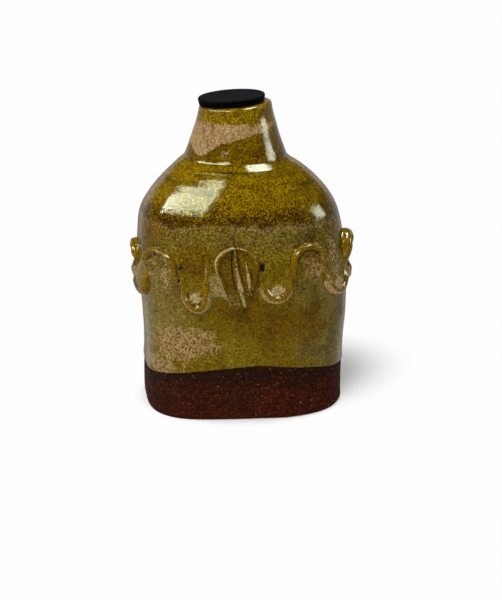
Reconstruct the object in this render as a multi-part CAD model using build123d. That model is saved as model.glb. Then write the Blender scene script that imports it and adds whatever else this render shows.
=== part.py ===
from build123d import *
from math import cos, pi, radians, sin, tan
import os

# A stoneware pilgrim flask with a lift-out stopper, in millimetres.
# +Z is up, +X runs across the broad face, -Y is the front, and the origin is the centre of the foot.

os.makedirs("parts", exist_ok=True)

# Clay shell, from the foot to the ledge that the neck stands on
foot_width = 119.2
foot_depth = 91.0
belly_width = 123.6
belly_depth = 95.0
belly_height = 84.0
ledge_diameter = 62.6
shell_height = 146.6
wall = 6.0
dome_wall = 6.5
floor = 6.5
foot_edge_round = 2.0
glaze_line_height = 28.0
seam_height = 114.0
foot_squareness = 2.7
round_squareness = 2.0
throat_diameter = 46.0

# Neck, which leans with the shell and is cut off slanting at its rim
neck_lean = -4.2
neck_foot_diameter = 60.6
rim_diameter = 42.4
rim_height = 179.9
rim_slant = 3.9
rim_outer_round = 1.6
rim_inner_round = 0.9
mouth_diameter = 29.0
mouth_depth = 19.0
mouth_offset = -2.0
throat_top_diameter = 32.0

# Stopper: a disc on a stem, with a sleeve of cork round the stem
disc_diameter = 39.6
disc_thickness = 4.5
disc_foot_inset = 0.5
disc_top_round = 1.3
disc_foot_round = 0.5
stem_diameter = 18.0
stem_length = 20.5
stem_end_round = 1.2
cork_length = 18.0
cork_end_taper = 1.5
mouth_clearance = 0.08
stem_clearance = 0.05
seat_gap = 0.2

# Applied strip that runs round the belly in arches and cups, laid as rolled coils of clay
band_middle_height = 86.5
arch_rise = 18.5
cup_drop = 18.5
coil_diameter = 5.6
arch_stand_off = 3.8
cup_stand_off = 4.2
leg_stand_off = 1.6

# Leaf that takes the place of one arch, left of the middle of the front
leaf_width = 25.0
leaf_rise = 20.0
leaf_drop = 17.5
leaf_stand_off = 3.2
lobe_ridge_share = 0.38
lobe_widest_share = 0.6
leaf_lean_out = 3.0
rib_diameter = 3.2
rib_stand_off = 2.6
rib_end_round = 1.3
midrib_lean = 5.5
side_rib_diameter = 2.4
side_rib_length = 17.0
side_rib_stand_off = 0.9

# One overrun serves every cut
overrun = 10.0

# Shapes of the shell between its named sizes: share of the height, share of the width left,
# share of the depth left, share of the squareness left, and share of the neck's sideways shift.
wall_shares = [
    (0.00, 0.00, 0.00, 1.00, 0.00),
    (0.17, 0.01, 0.02, 1.00, 0.00),
    (0.33, 0.00, 0.04, 1.00, 0.00),
    (0.50, 0.16, 0.15, 1.00, 0.00),
    (0.67, 0.58, 0.50, 1.00, 0.00),
    (0.84, 0.90, 0.90, 1.00, 0.08),
    (1.00, 1.00, 1.00, 1.00, 0.20),
]
dome_shares = [
    (0.160, 0.990, 0.990, 0.98, 0.30),
    (0.320, 0.960, 0.955, 0.93, 0.43),
    (0.480, 0.905, 0.880, 0.82, 0.70),
    (0.590, 0.825, 0.780, 0.70, 0.78),
    (0.712, 0.670, 0.615, 0.52, 0.80),
    (0.829, 0.444, 0.402, 0.30, 0.80),
    (0.905, 0.275, 0.250, 0.12, 0.82),
    (0.955, 0.152, 0.142, 0.03, 0.90),
    (0.985, 0.066, 0.062, 0.00, 0.95),
    (1.000, 0.000, 0.000, 0.00, 1.00),
]
# Outline of the neck: share of its height up from the ledge, and share of its flare that is left.
neck_shares = [(0.0, 1.0), (0.08, 0.87), (0.25, 0.62), (0.45, 0.375), (0.65, 0.19), (0.85, 0.055), (1.0, 0.0)]

# The strip's motifs in order round the belly from the front towards +X: name, share of the way round
# from the middle of the front, and height of its bend as a share of the arches' rise or the cups' drop.
motif_shares = [
    ("leaf", -0.021, 1.00),
    ("cup_front_right", 0.038, 1.00),
    ("arch_front_right", 0.0895, 1.12),
    ("cup_right_front", 0.1495, 0.97),
    ("arch_right", 0.206, 0.99),
    ("cup_right_back", 0.260, 1.03),
    ("arch_back_right_outer", 0.313, 1.02),
    ("cup_back_right_outer", 0.368, 0.96),
    ("arch_back_right_inner", 0.421, 0.94),
    ("cup_back_middle", 0.475, 1.04),
    ("arch_back_left_inner", 0.529, 1.05),
    ("cup_back_left_inner", 0.583, 0.98),
    ("arch_back_left_outer", 0.638, 0.96),
    ("cup_left_back", 0.692, 1.01),
    ("arch_left", 0.747, 0.82),
    ("cup_left_front", 0.8015, 0.90),
    ("arch_front_left", 0.856, 0.95),
    ("cup_front_left", 0.915, 1.04),
]

outline_points = 28
girth_points = 720
low_sections = 7
lobe_rings = 9
lobe_end_share = 0.86


def stations():
    """Heights of the shell with its half width, half depth, squareness and sideways shift there."""
    rows = []
    for up, width, depth, square, lean in wall_shares:
        rows.append((
            up * belly_height,
            (foot_width + (belly_width - foot_width) * width) / 2,
            (foot_depth + (belly_depth - foot_depth) * depth) / 2,
            round_squareness + (foot_squareness - round_squareness) * square,
            neck_lean * lean,
        ))
    for up, width, depth, square, lean in dome_shares:
        rows.append((
            belly_height + (shell_height - belly_height) * up,
            (ledge_diameter + (belly_width - ledge_diameter) * width) / 2,
            (ledge_diameter + (belly_depth - ledge_diameter) * depth) / 2,
            round_squareness + (foot_squareness - round_squareness) * square,
            neck_lean * lean,
        ))
    return rows


shell_stations = stations()


def shell_at(height):
    """Half width, half depth, squareness and shift at any height, as a smooth curve through the stations."""
    rows = shell_stations
    height = min(max(height, rows[0][0]), rows[-1][0])
    i = max(k for k in range(len(rows) - 1) if rows[k][0] <= height)
    span = rows[i + 1][0] - rows[i][0]
    t = (height - rows[i][0]) / span
    values = []
    for column in range(1, 5):
        slopes = []
        for k in (i, i + 1):
            before, after = max(k - 1, 0), min(k + 1, len(rows) - 1)
            slopes.append((rows[after][column] - rows[before][column]) / (rows[after][0] - rows[before][0]))
        values.append(
            (2 * t**3 - 3 * t**2 + 1) * rows[i][column]
            + (t**3 - 2 * t**2 + t) * span * slopes[0]
            + (3 * t**2 - 2 * t**3) * rows[i + 1][column]
            + (t**3 - t**2) * span * slopes[1]
        )
    return values


def shell_point(angle, height, stand_off=0.0):
    """Point of the shell's outline in the direction of an angle from the front, moved outwards by a stand-off."""
    half_width, half_depth, squareness, shift = shell_at(height)
    half_width, half_depth = half_width + stand_off, half_depth + stand_off
    x, y = sin(angle), -cos(angle)
    reach = ((abs(x) / half_width) ** squareness + (abs(y) / half_depth) ** squareness) ** (-1 / squareness)
    return Vector(shift + x * reach, y * reach, height)


def outline(height, stand_off=0.0, level=None):
    """Closed face across the shell at a height, drawn at that level or at another one."""
    points = [shell_point(2 * pi * k / outline_points, height, stand_off) for k in range(outline_points)]
    level = height if level is None else level
    return make_face(Spline(*[Vector(p.X, p.Y, level) for p in points], periodic=True))


def even_heights(low, high, count):
    return [low + (high - low) * k / (count - 1) for k in range(count)]


def outer_form():
    """The whole shell as a solid form, closer sections where the shoulder turns in."""
    low = even_heights(0.0, belly_height, low_sections)
    turn = [row[0] for row in shell_stations if row[0] > belly_height]
    return loft([outline(z) for z in low + turn])


def inner_form():
    """The hollow: the outer form drawn in by the wall, and lowered under the dome."""
    top = shell_height - dome_wall
    sections = []
    for z in even_heights(floor, belly_height, low_sections):
        sections.append(outline(z, -wall))
    for row in shell_stations:
        if row[0] > belly_height:
            up = (row[0] - belly_height) / (shell_height - belly_height)
            sections.append(outline(row[0], -wall, belly_height + (top - belly_height) * up))
    return loft(sections)


def slice_between(form, low, high):
    """The part of a form between two heights."""
    size = 2 * belly_width
    return form & Pos(0, 0, (low + high) / 2) * Box(size, size, high - low)


def clay_shell(form, hollow):
    """The four pieces of the shell: floor slab, bare foot wall, glazed wall and thrown shoulder."""
    slab = slice_between(form, 0.0, floor)
    slab = fillet(slab.edges().group_by(Axis.Z)[0], foot_edge_round)
    walls = form - hollow
    throat = Pos(neck_lean, 0, shell_height) * Cylinder(throat_diameter / 2, 2 * dome_wall + overrun)
    shoulder = slice_between(walls, seam_height, shell_height + overrun) - throat
    return {
        "base_slab": slab,
        "foot_wall": slice_between(walls, floor, glaze_line_height),
        "body_wall": slice_between(walls, glaze_line_height, seam_height),
        "shoulder_dome": shoulder,
    }


def mouth_frame():
    """Plane of the slanting rim, centred on the mouth, with its Z along the way that the stopper leaves."""
    slant = radians(rim_slant)
    x = neck_lean + mouth_offset
    z = rim_height + mouth_offset * tan(slant)
    return Plane(origin=(x, 0, z), x_dir=(cos(slant), 0, sin(slant)), z_dir=(-sin(slant), 0, cos(slant)))


def neck_collar():
    """The flared neck, hollowed by a slanting mouth and a widening throat."""
    height = rim_height - shell_height
    top = height + overrun
    flare = (neck_foot_diameter - rim_diameter) / 2
    side = [(rim_diameter / 2 + flare * left, height * up) for up, left in neck_shares]
    line = Spline(*side)
    section = make_face([
        line,
        Line(side[-1], (rim_diameter / 2, top)),
        Line((rim_diameter / 2, top), (0, top)),
        Line((0, top), (0, 0)),
        Line((0, 0), side[0]),
    ])
    body = revolve(Plane.XZ * section, Axis.Z)
    body = Pos(neck_lean, 0, shell_height) * body
    mouth = mouth_frame()
    size = 2 * neck_foot_diameter
    body -= mouth * Pos(0, 0, size / 2) * Box(size, size, size)
    body = fillet(body.edges().group_by(Axis.Z)[-1], rim_outer_round)
    body -= mouth * Cylinder(mouth_diameter / 2, 2 * mouth_depth)
    throat_height = height - mouth_depth + wall / 2
    throat = Pos(neck_lean, 0, shell_height + throat_height / 2) * Cone(
        throat_diameter / 2, throat_top_diameter / 2, throat_height
    )
    body -= throat
    inner_rim = body.edges().filter_by(GeomType.CIRCLE).sort_by(Axis(mouth.origin, mouth.z_dir))[-1]
    return fillet(inner_rim, rim_inner_round)


def stopper():
    """The stopper's disc, stem and cork, standing in the mouth."""
    seat = mouth_frame()
    disc_foot = disc_diameter / 2 - disc_foot_inset
    profile = make_face(Polyline(
        (0, 0), (disc_foot, 0), (disc_diameter / 2, disc_thickness), (0, disc_thickness), close=True
    ))
    disc = revolve(Plane.XZ * profile, Axis.Z)
    disc = fillet(disc.edges().group_by(Axis.Z)[-1], disc_top_round)
    disc = fillet(disc.edges().group_by(Axis.Z)[0], disc_foot_round)
    stem = Pos(0, 0, -stem_length / 2) * Cylinder(stem_diameter / 2, stem_length)
    stem = fillet(stem.edges().group_by(Axis.Z)[0], stem_end_round)
    cork_radius = mouth_diameter / 2 - mouth_clearance
    cork = Pos(0, 0, -cork_length / 2) * Cylinder(cork_radius, cork_length)
    cork = chamfer(cork.edges().group_by(Axis.Z)[0], 2 * cork_end_taper, cork_end_taper)
    cork -= Cylinder(stem_diameter / 2 + stem_clearance, 2 * cork_length + overrun)
    return {
        "stopper_disc": seat * Pos(0, 0, seat_gap) * disc,
        "stopper_stem": seat * Pos(0, 0, seat_gap) * stem,
        "stopper_cork": seat * cork,
    }


def girth_run():
    """How far each point of the belly's outline is from the middle of the front, as shares of the whole way round."""
    points = [shell_point(2 * pi * k / girth_points, band_middle_height) for k in range(girth_points + 1)]
    run = [0.0]
    for here, after in zip(points, points[1:]):
        run.append(run[-1] + (after - here).length)
    return [r / run[-1] for r in run]


girth = girth_run()


def angle_at(share):
    """Angle from the front of the place that lies a share of the way round the belly."""
    turns = share // 1
    share -= turns
    k = max(i for i in range(girth_points) if girth[i] <= share)
    part_way = (share - girth[k]) / (girth[k + 1] - girth[k])
    return 2 * pi * (turns + (k + part_way) / girth_points)


def outward_at(share):
    """Direction square to the belly's outline."""
    step = 1 / girth_points
    before, after = angle_at(share - step), angle_at(share + step)
    along = shell_point(after, band_middle_height) - shell_point(before, band_middle_height)
    return Vector(along.Y, -along.X, 0).normalized()


def on_wall(share, height, stand_off):
    """Point that stands off the wall at a share of the way round and a height."""
    return shell_point(angle_at(share), height) + outward_at(share) * stand_off


def coil(left, middle, right, bend_height, stand_off):
    """Rolled coil that goes up or down from one foot, round a half circle, and back to the other foot."""
    radius = coil_diameter / 2
    feet = [on_wall(share, band_middle_height, leg_stand_off - radius) for share in (left, right)]
    bend = on_wall(middle, bend_height, stand_off - radius)
    centre = (feet[0] + feet[1]) / 2
    across = (feet[1] - feet[0]).normalized()
    half = (feet[1] - feet[0]).length / 2
    rise = bend - centre
    rise = rise - across * rise.dot(across)
    up = rise.normalized()
    leg = rise.length - half
    path = Line(feet[0] - up * coil_diameter, feet[0] + up * leg)
    path += ThreePointArc(feet[0] + up * leg, centre + up * rise.length, feet[1] + up * leg)
    path += Line(feet[1] + up * leg, feet[1] - up * coil_diameter)
    tube = sweep(Plane(origin=path @ 0, z_dir=up) * Circle(radius), path=path)
    size = 2 * belly_width
    keep = Pos(0, 0, band_middle_height + (size if bend_height > band_middle_height else -size) / 2)
    return tube & keep * Box(size, size, size)


def grain(length, diameter, end_round):
    """Long round-ended rod along Z, centred."""
    return fillet(Cylinder(diameter / 2, length).edges(), end_round)


def leaf(share):
    """Leaf of two swollen lobes with a rib between them and a shorter rib on the right one."""
    height = leaf_rise + leaf_drop
    place = on_wall(share, band_middle_height - leaf_drop + height * lobe_widest_share, 0.0)
    outward = outward_at(share)
    face = Plane(origin=place, x_dir=Vector(0, 0, 1).cross(outward), z_dir=outward)
    middle = Pos(0, height * (0.5 - lobe_widest_share), 0) * Rot(0, 0, midrib_lean)
    lobe_width = (leaf_width - rib_diameter) / 2
    outer_width = lobe_width * (1 - lobe_ridge_share)
    lobe_radius = (outer_width**2 + leaf_stand_off**2) / (2 * leaf_stand_off)
    sunk = lobe_radius - leaf_stand_off
    stretch = 1 / (1 - (sunk / lobe_radius) ** 2) ** 0.5
    above = height * (1 - lobe_widest_share) * stretch
    below = height * lobe_widest_share * stretch
    rings = []
    for k in range(lobe_rings):
        turn = pi / 2 * lobe_end_share * (2 * k / (lobe_rings - 1) - 1)
        level = (above if turn > 0 else below) * sin(turn)
        rings.append(Plane(origin=(0, level, 0), z_dir=(0, 1, 0)) * Circle(lobe_radius * cos(turn)))
    lobe = Rot(leaf_lean_out, 0, 0) * loft(rings)
    aside = rib_diameter / 2 + lobe_width * lobe_ridge_share
    side_block = Box(2 * leaf_width, 2 * height, 4 * lobe_radius)
    block_place = leaf_width + rib_diameter / 2
    left = face * ((Pos(-aside, 0, -sunk) * lobe) & (middle * Pos(-block_place, 0, 0) * side_block))
    right = face * ((Pos(aside, 0, -sunk) * lobe) & (middle * Pos(block_place, 0, 0) * side_block))
    rib = Rot(90, 0, 0) * grain(height, rib_diameter, rib_end_round)
    rib = face * Pos(0, 0, rib_stand_off - rib_diameter / 2) * middle * rib
    side_up = leaf_stand_off + side_rib_stand_off - side_rib_diameter / 2
    side = Rot(90, 0, 0) * grain(side_rib_length, side_rib_diameter, side_rib_diameter / 3)
    side = face * Pos(aside, 0, side_up) * middle * side
    return {"leaf_lobe_left": left, "leaf_lobe_right": right, "leaf_midrib": rib, "leaf_side_rib": side}


def relief(form):
    """The applied pieces, each cut to the wall that it is pressed on."""
    pieces = {}
    count = len(motif_shares)
    for i, (name, middle, bend) in enumerate(motif_shares):
        before = motif_shares[i - 1][1] - (1 if i == 0 or motif_shares[i - 1][1] > middle else 0)
        after = motif_shares[(i + 1) % count][1] + (1 if motif_shares[(i + 1) % count][1] < middle else 0)
        left, right = (before + middle) / 2, (middle + after) / 2
        if name == "leaf":
            lobes = leaf(middle)
            taken = lobes["leaf_lobe_left"] + lobes["leaf_lobe_right"]
            lobes["leaf_midrib"] -= taken
            lobes["leaf_side_rib"] -= taken
            for part_name, part in lobes.items():
                pieces[part_name] = part - form
        elif name.startswith("arch"):
            height = band_middle_height + arch_rise * bend - coil_diameter / 2
            pieces[name] = coil(left, middle, right, height, arch_stand_off) - form
        else:
            height = band_middle_height - cup_drop * bend + coil_diameter / 2
            pieces[name] = coil(left, middle, right, height, cup_stand_off) - form
    for name in ("cup_front_left", "cup_front_right"):
        pieces[name] -= taken
    return pieces


def build():
    form = outer_form()
    pieces = clay_shell(form, inner_form())
    pieces["neck_collar"] = neck_collar()
    pieces.update(relief(form))
    pieces.update(stopper())
    return pieces


for name, piece in build().items():
    export_step(piece, f"parts/{name}.step")
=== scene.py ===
import bisect
import math

import bmesh
import bpy
from bpy.props import FloatProperty, FloatVectorProperty, PointerProperty
from bpy.types import Operator, Panel, PropertyGroup
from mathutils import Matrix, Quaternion, Vector, noise


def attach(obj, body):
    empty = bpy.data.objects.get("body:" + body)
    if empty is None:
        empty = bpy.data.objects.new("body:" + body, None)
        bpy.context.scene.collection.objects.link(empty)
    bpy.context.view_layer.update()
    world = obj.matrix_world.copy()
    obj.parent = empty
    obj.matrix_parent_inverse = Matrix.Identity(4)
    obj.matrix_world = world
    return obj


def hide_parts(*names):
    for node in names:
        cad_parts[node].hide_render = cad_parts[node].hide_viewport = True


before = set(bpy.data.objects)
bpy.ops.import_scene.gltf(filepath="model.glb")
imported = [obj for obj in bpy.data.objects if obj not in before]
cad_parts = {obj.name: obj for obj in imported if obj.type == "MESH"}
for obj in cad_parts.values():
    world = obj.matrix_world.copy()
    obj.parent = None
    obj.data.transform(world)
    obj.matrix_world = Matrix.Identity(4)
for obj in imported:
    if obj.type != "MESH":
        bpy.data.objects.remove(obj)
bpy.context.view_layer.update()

bl_info = {
    "name": "Pilgrim flask",
    "version": (1, 0, 0),
    "blender": (4, 5, 0),
    "location": "View3D > Sidebar > Flask",
    "description": "Models a stoneware pilgrim flask with a lift-out stopper, and its studio",
    "category": "Add Mesh",
}

MM = 0.001
# Places closer together than this are one place.
TINY = 1e-6
# Even radius that the shell's pieces are turned at, before they take its oval outline.
TURNED_RADIUS = 50 * MM
# How far the backs and the ends of the applied clay reach into the wall.
BACK_DEPTH = 1.6 * MM
END_DEPTH = 0.6 * MM
# Between faces that meet at more than this, applied clay keeps a sharp edge.
CLAY_SHARP = math.radians(80)

# Outline of the shell, up its wall and then over its shoulder. Each row gives a share of the height, shares
# of the belly's growth over the foot or the ledge in width and in depth, and shares of the foot's
# squareness and of the neck's shift.
WALL_OUTLINE = (
    (0.00, 0.00, 0.00, 1.00, 0.00),
    (0.17, 0.01, 0.02, 1.00, 0.00),
    (0.33, 0.01, 0.04, 1.00, -0.06),
    (0.50, 0.17, 0.15, 1.00, -0.12),
    (0.67, 0.59, 0.50, 1.00, -0.12),
    (0.84, 0.90, 0.90, 1.00, -0.02),
    (1.00, 1.00, 1.00, 1.00, 0.20),
)
SHOULDER_OUTLINE = (
    (0.160, 0.990, 0.990, 0.98, 0.30),
    (0.320, 0.960, 0.955, 0.93, 0.43),
    (0.480, 0.915, 0.890, 0.82, 0.55),
    (0.590, 0.840, 0.795, 0.70, 0.55),
    (0.712, 0.688, 0.630, 0.52, 0.55),
    (0.829, 0.478, 0.445, 0.30, 0.62),
    (0.905, 0.314, 0.310, 0.12, 0.72),
    (0.955, 0.192, 0.198, 0.03, 0.82),
    (0.985, 0.098, 0.108, 0.00, 0.90),
    (1.000, 0.000, 0.000, 0.00, 1.00),
)
# Outline of the neck: share of its height, and share of its flare that is left.
NECK_OUTLINE = (
    (0.0, 1.00), (0.16, 0.82), (0.31, 0.625), (0.45, 0.47), (0.60, 0.32), (0.75, 0.165), (0.90, 0.045),
    (1.0, 0.0),
)

# The strip's bends in order round the belly from the front towards +X: name, left and right edges as
# shares of the way round from the middle of the front, height as a share of the arches' rise or cups'
# drop, how proud it stands as a share of the usual, how full its inside is, and in millimetres how
# far its tip leans right and how far its left and right legs run past the middle height.
BENDS = (
    ("cup_front_right", 0.0112, 0.0655, 0.85, 1.00, 0.58, -0.9, 1.5, 8.0),
    ("arch_front_right", 0.0628, 0.1232, 1.00, 1.05, 0.30, 1.6, 6.0, 5.0),
    ("cup_right_front", 0.1192, 0.1802, 0.84, 1.00, 0.60, 0.5, 6.0, 8.0),
    ("arch_right", 0.1758, 0.2352, 1.05, 1.50, 0.32, -0.8, 6.0, 7.0),
    ("cup_right_back", 0.2308, 0.2887, 0.98, 1.20, 0.55, 0.8, 7.0, 6.0),
    ("arch_back_right_outer", 0.2843, 0.3427, 0.97, 0.95, 0.30, -1.2, 6.0, 6.0),
    ("cup_back_right_outer", 0.3383, 0.3967, 0.92, 1.05, 0.62, 0.6, 5.0, 8.0),
    ("arch_back_right_inner", 0.3923, 0.4502, 0.90, 1.00, 0.34, 1.4, 6.0, 5.0),
    ("cup_back_middle", 0.4458, 0.5042, 1.04, 0.95, 0.55, -1.0, 7.0, 6.0),
    ("arch_back_left_inner", 0.4998, 0.5582, 1.00, 1.05, 0.30, -0.6, 6.0, 7.0),
    ("cup_back_left_inner", 0.5538, 0.6127, 0.93, 1.00, 0.66, 1.2, 5.0, 6.0),
    ("arch_back_left_outer", 0.6083, 0.6672, 0.93, 0.95, 0.32, 1.0, 6.0, 6.0),
    ("cup_left_back", 0.6628, 0.7217, 0.98, 1.05, 0.55, -0.8, 8.0, 5.0),
    ("arch_left", 0.7173, 0.7742, 0.74, 1.05, 0.36, 0.8, 5.0, 3.0),
    ("cup_left_front", 0.7698, 0.8205, 0.88, 1.05, 0.95, -0.6, 3.0, 4.0),
    ("arch_front_left", 0.8160, 0.8800, 0.90, 1.00, 0.32, -2.0, 6.0, 3.5),
    ("cup_front_left", 0.8847, 0.9317, 1.10, 0.95, 0.55, 0.4, 4.0, 16.0),
)
# Leaf's middle, as a share of the way round.
LEAF_MIDDLE = -0.021
# Lines of the leaf, in millimetres from its middle on the band: share of the way down, then across and up.
LEFT_LOBE_EDGE = (
    (0.00, -2.4, 18.7), (0.10, -6.9, 17.5), (0.20, -10.5, 15.3), (0.30, -13.0, 12.4), (0.40, -13.9, 9.2),
    (0.50, -13.5, 5.4), (0.62, -12.0, 1.0), (0.74, -10.5, -4.0), (0.87, -9.0, -9.6), (1.00, -6.4, -16.0),
)
LEFT_LOBE_CREASE = (
    (0.0, -2.2, 18.2), (0.3, -3.5, 12.0), (0.55, -3.2, 3.0), (0.78, -2.2, -6.0), (1.0, -0.6, -16.4),
)
RIGHT_LOBE_EDGE = (
    (0.00, 0.4, 18.7), (0.12, 4.7, 17.4), (0.24, 8.1, 15.3), (0.36, 10.8, 12.3), (0.48, 11.8, 8.0),
    (0.62, 11.1, 2.6), (0.76, 9.6, -3.0), (0.88, 7.2, -8.0), (1.00, 4.6, -12.4),
)
RIGHT_LOBE_CREASE = (
    (0.0, -1.2, 18.2), (0.3, -1.3, 12.0), (0.55, -0.6, 3.5), (0.78, 0.5, -4.5), (1.0, 1.8, -13.0),
)
MIDRIB_LINE = ((0.0, -1.9, 18.2), (0.25, -1.8, 10.4), (0.5, -0.8, 2.0), (0.75, 0.4, -6.5), (1.0, 2.1, -17.6))
SIDE_RIB_LINE = ((0.0, 4.0, 10.5), (0.5, 5.0, 1.0), (1.0, 6.1, -10.6))
WEB_LEFT = ((0.0, -18.6, 9.5), (0.5, -17.4, -2.5), (1.0, -18.0, -13.0))
WEB_RIGHT = ((0.0, -13.4, 10.5), (0.5, -11.0, -2.5), (1.0, -5.6, -15.4))

# Places where the glaze broke to a pinkish tan: share of the way round, height, half width and half
# height in millimetres, and strength, above 0.8 smooth and below it mottled.
TAN_PATCHES = (
    (-0.122, 46.0, 25.0, 11.0, 0.78),
    (-0.170, 31.5, 24.0, 5.5, 1.00),
    (-0.153, 88.0, 8.0, 11.0, 0.54),
    (0.101, 91.0, 6.0, 8.0, 0.64),
    (0.146, 94.0, 4.5, 14.0, 0.62),
    (-0.064, 90.0, 3.5, 6.0, 0.75),
    (0.420, 50.0, 26.0, 10.0, 0.78),
    (0.640, 88.0, 9.0, 9.0, 0.75),
    (0.330, 90.0, 8.0, 8.0, 0.75),
)
# Places where the glaze is paler, and where it ran browner, given in the same way.
PALE_PATCHES = (
    (-0.190, 62.0, 30.0, 26.0, 0.80),
    (0.165, 58.0, 34.0, 30.0, 0.80),
    (0.130, 82.0, 10.0, 14.0, 0.60),
    (0.690, 58.0, 30.0, 24.0, 0.70),
    (0.350, 60.0, 26.0, 26.0, 0.70),
)
BROWN_PATCHES = (
    (0.045, 58.0, 46.0, 13.0, 1.00),
    (-0.020, 67.0, 22.0, 10.0, 0.80),
    (-0.085, 98.0, 13.0, 11.0, 0.80),
    (-0.190, 112.0, 20.0, 16.0, 0.80),
    (0.160, 104.0, 18.0, 10.0, 0.50),
    (0.480, 66.0, 44.0, 14.0, 0.95),
    (0.600, 104.0, 26.0, 13.0, 0.80),
    (0.320, 60.0, 30.0, 10.0, 0.80),
)
PATCHES = {"tan": TAN_PATCHES, "brown": BROWN_PATCHES, "pale": PALE_PATCHES}
# Pinholes beside the strip, painted near-black as shade: share of the way round, height, half width and half
# height in millimetres.
PINHOLES = ((-0.1142, 92.2, 1.2, 1.3), (-0.1176, 84.4, 1.0, 1.1), (0.0165, 92.2, 1.5, 2.9))

# Vertex layers that the glaze reads on applied clay.
RELIEF_LAYERS = ("lip", "pool", "pit", "tan", "crest", "groove", "brown", "pale", "web")

# Corners that were paddled out of the foot, and the flats beside them: degrees round from the middle of
# the face, spread in degrees, and millimetres outwards.
PADDLED = (
    (43, 12, 3.0), (-48, 12, 3.8), (23, 10, 2.6), (-20, 10, 0.3), (68, 9, -0.4), (-66, 9, 0.9), (0, 16, 1.9),
)

# Edges of the tan patch on the neck: degrees round from the front, and height in millimetres.
NECK_TAN_FOOT = (
    (-180, 166.0), (-120, 160.0), (-80, 157.0), (-54, 152.5), (-26, 159.4), (8, 163.8), (34, 165.6),
    (60, 168.5), (100, 171.0), (180, 166.0),
)
NECK_TAN_TOP = 171.5

# Softboxes: name, degrees round from the front and above the floor, distance, size across and up in
# metres, roll in degrees, and the rays that they are hidden from.
LAMPS = (
    ("key", -36, 48, 1.15, 0.8, 0.8, 0, "visible_glossy"),
    ("top_panel", -50, 80, 1.5, 1.2, 1.2, 0, "visible_glossy"),
    ("left_sheen", -68, 42.5, 1.15, 1.6, 0.32, 6, "visible_diffuse"),
    ("right_sheen", 82, 20, 0.9, 0.32, 0.21, 0, "visible_diffuse"),
    ("top_sheen", 80, 69, 1.2, 0.95, 0.40, 0, "visible_diffuse"),
)
# Ovals on the floor that the flask darkens: middle across and along, radius across and along in metres,
# turn in degrees, where the shade starts and ends as shares of the radius, and the light left at its middle.
CAST_SHADE = (0.035, 0.030, 0.090, 0.068, 45, 0.35, 1.08, 0.14)
CONTACT_SHADE = (0.0, 0.0, 0.064, 0.056, 0, 0.86, 1.06, 0.10)


def smooth_step(low, high, value):
    t = min(max((value - low) / (high - low), 0.0), 1.0)
    return t * t * (3 - 2 * t)


def smooth_through(rows, at):
    """Values at one place of a smooth curve through rows of a place and its values."""
    at = min(max(at, rows[0][0]), rows[-1][0])
    i = min(max(bisect.bisect_right([row[0] for row in rows], at) - 1, 0), len(rows) - 2)
    span = rows[i + 1][0] - rows[i][0]
    t = (at - rows[i][0]) / span
    values = []
    for column in range(1, len(rows[0])):
        slopes = []
        for k in (i, i + 1):
            before, after = rows[max(k - 1, 0)], rows[min(k + 1, len(rows) - 1)]
            slopes.append((after[column] - before[column]) / (after[0] - before[0]))
        values.append(
            (2 * t**3 - 3 * t**2 + 1) * rows[i][column]
            + (t**3 - 2 * t**2 + t) * span * slopes[0]
            + (3 * t**2 - 2 * t**3) * rows[i + 1][column]
            + (t**3 - t**2) * span * slopes[1]
        )
    return values


def hump(value, middle, width):
    """Bell curve, one at its middle."""
    return math.exp(-(((value - middle) / width) ** 2))


def ripple(x, y, scale, seed):
    """Noise over a surface, from -1 to 1."""
    return noise.noise(Vector((x * scale, y * scale, seed)))


def direction(turn, lift):
    """Direction at an angle round from the front and an angle up."""
    return Vector((math.sin(turn) * math.cos(lift), -math.cos(turn) * math.cos(lift), math.sin(lift)))


def round_axis(place):
    """Distance from the Z axis, and angle round it from the front."""
    return math.hypot(place.x, place.y), math.atan2(place.x, -place.y)


def length_property(name, description, millimetres):
    return FloatProperty(
        name=name, description=description, default=millimetres * MM, subtype="DISTANCE", unit="LENGTH",
        precision=5,
    )


def angle_property(name, description, degrees):
    return FloatProperty(
        name=name, description=description, default=math.radians(degrees), subtype="ANGLE", unit="ROTATION"
    )


def power_property(name, description, watts):
    return FloatProperty(name=name, description=description, default=watts, unit="POWER")


def colour_property(name, description, red, green, blue):
    """Colour picker whose default is given as it looks on screen, from 0 to 255."""
    linear = []
    for value in (red, green, blue):
        share = value / 255
        linear.append(share / 12.92 if share <= 0.04045 else ((share + 0.055) / 1.055) ** 2.4)
    return FloatVectorProperty(
        name=name, description=description, default=linear, subtype="COLOR", size=3, min=0.0, max=1.0
    )


class FlaskShellSizes(PropertyGroup):
    foot_width: length_property("Foot width", "Width of the foot across the broad face", 119.2)
    foot_depth: length_property("Foot depth", "Depth of the foot from front to back", 91.0)
    belly_width: length_property("Belly width", "Greatest width of the shell", 123.6)
    belly_depth: length_property("Belly depth", "Greatest depth of the shell", 95.0)
    belly_height: length_property("Belly height", "Height of the widest place", 84.0)
    ledge: length_property("Ledge", "Diameter of the ledge that the neck stands on", 62.6)
    height: length_property("Shell height", "Height of the shell up to the ledge", 146.6)
    wall: length_property("Wall", "Thickness of the wall", 6.0)
    dome_wall: length_property("Shoulder wall", "Thickness of the shoulder under the neck", 6.5)
    floor: length_property("Floor", "Thickness of the floor", 6.5)
    throat: length_property("Throat", "Diameter of the opening under the neck", 46.0)
    foot_round: length_property("Foot edge", "Radius of the foot's lower edge", 2.0)
    squareness: FloatProperty(name="Squareness", description="Power of the foot's outline", default=2.7)
    glaze_line: length_property("Glaze line", "Middle height of the edge where the glaze stops", 28.8)
    glaze_wave: length_property("Glaze wave", "How far the glaze's edge rises on the broad faces", 4.2)
    glaze_lip: length_property("Glaze lip", "How thick the glaze rolled up at its lower edge", 0.5)
    glaze_coat: length_property("Glaze coat", "Thickness of the glaze on the wall", 0.15)


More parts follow.
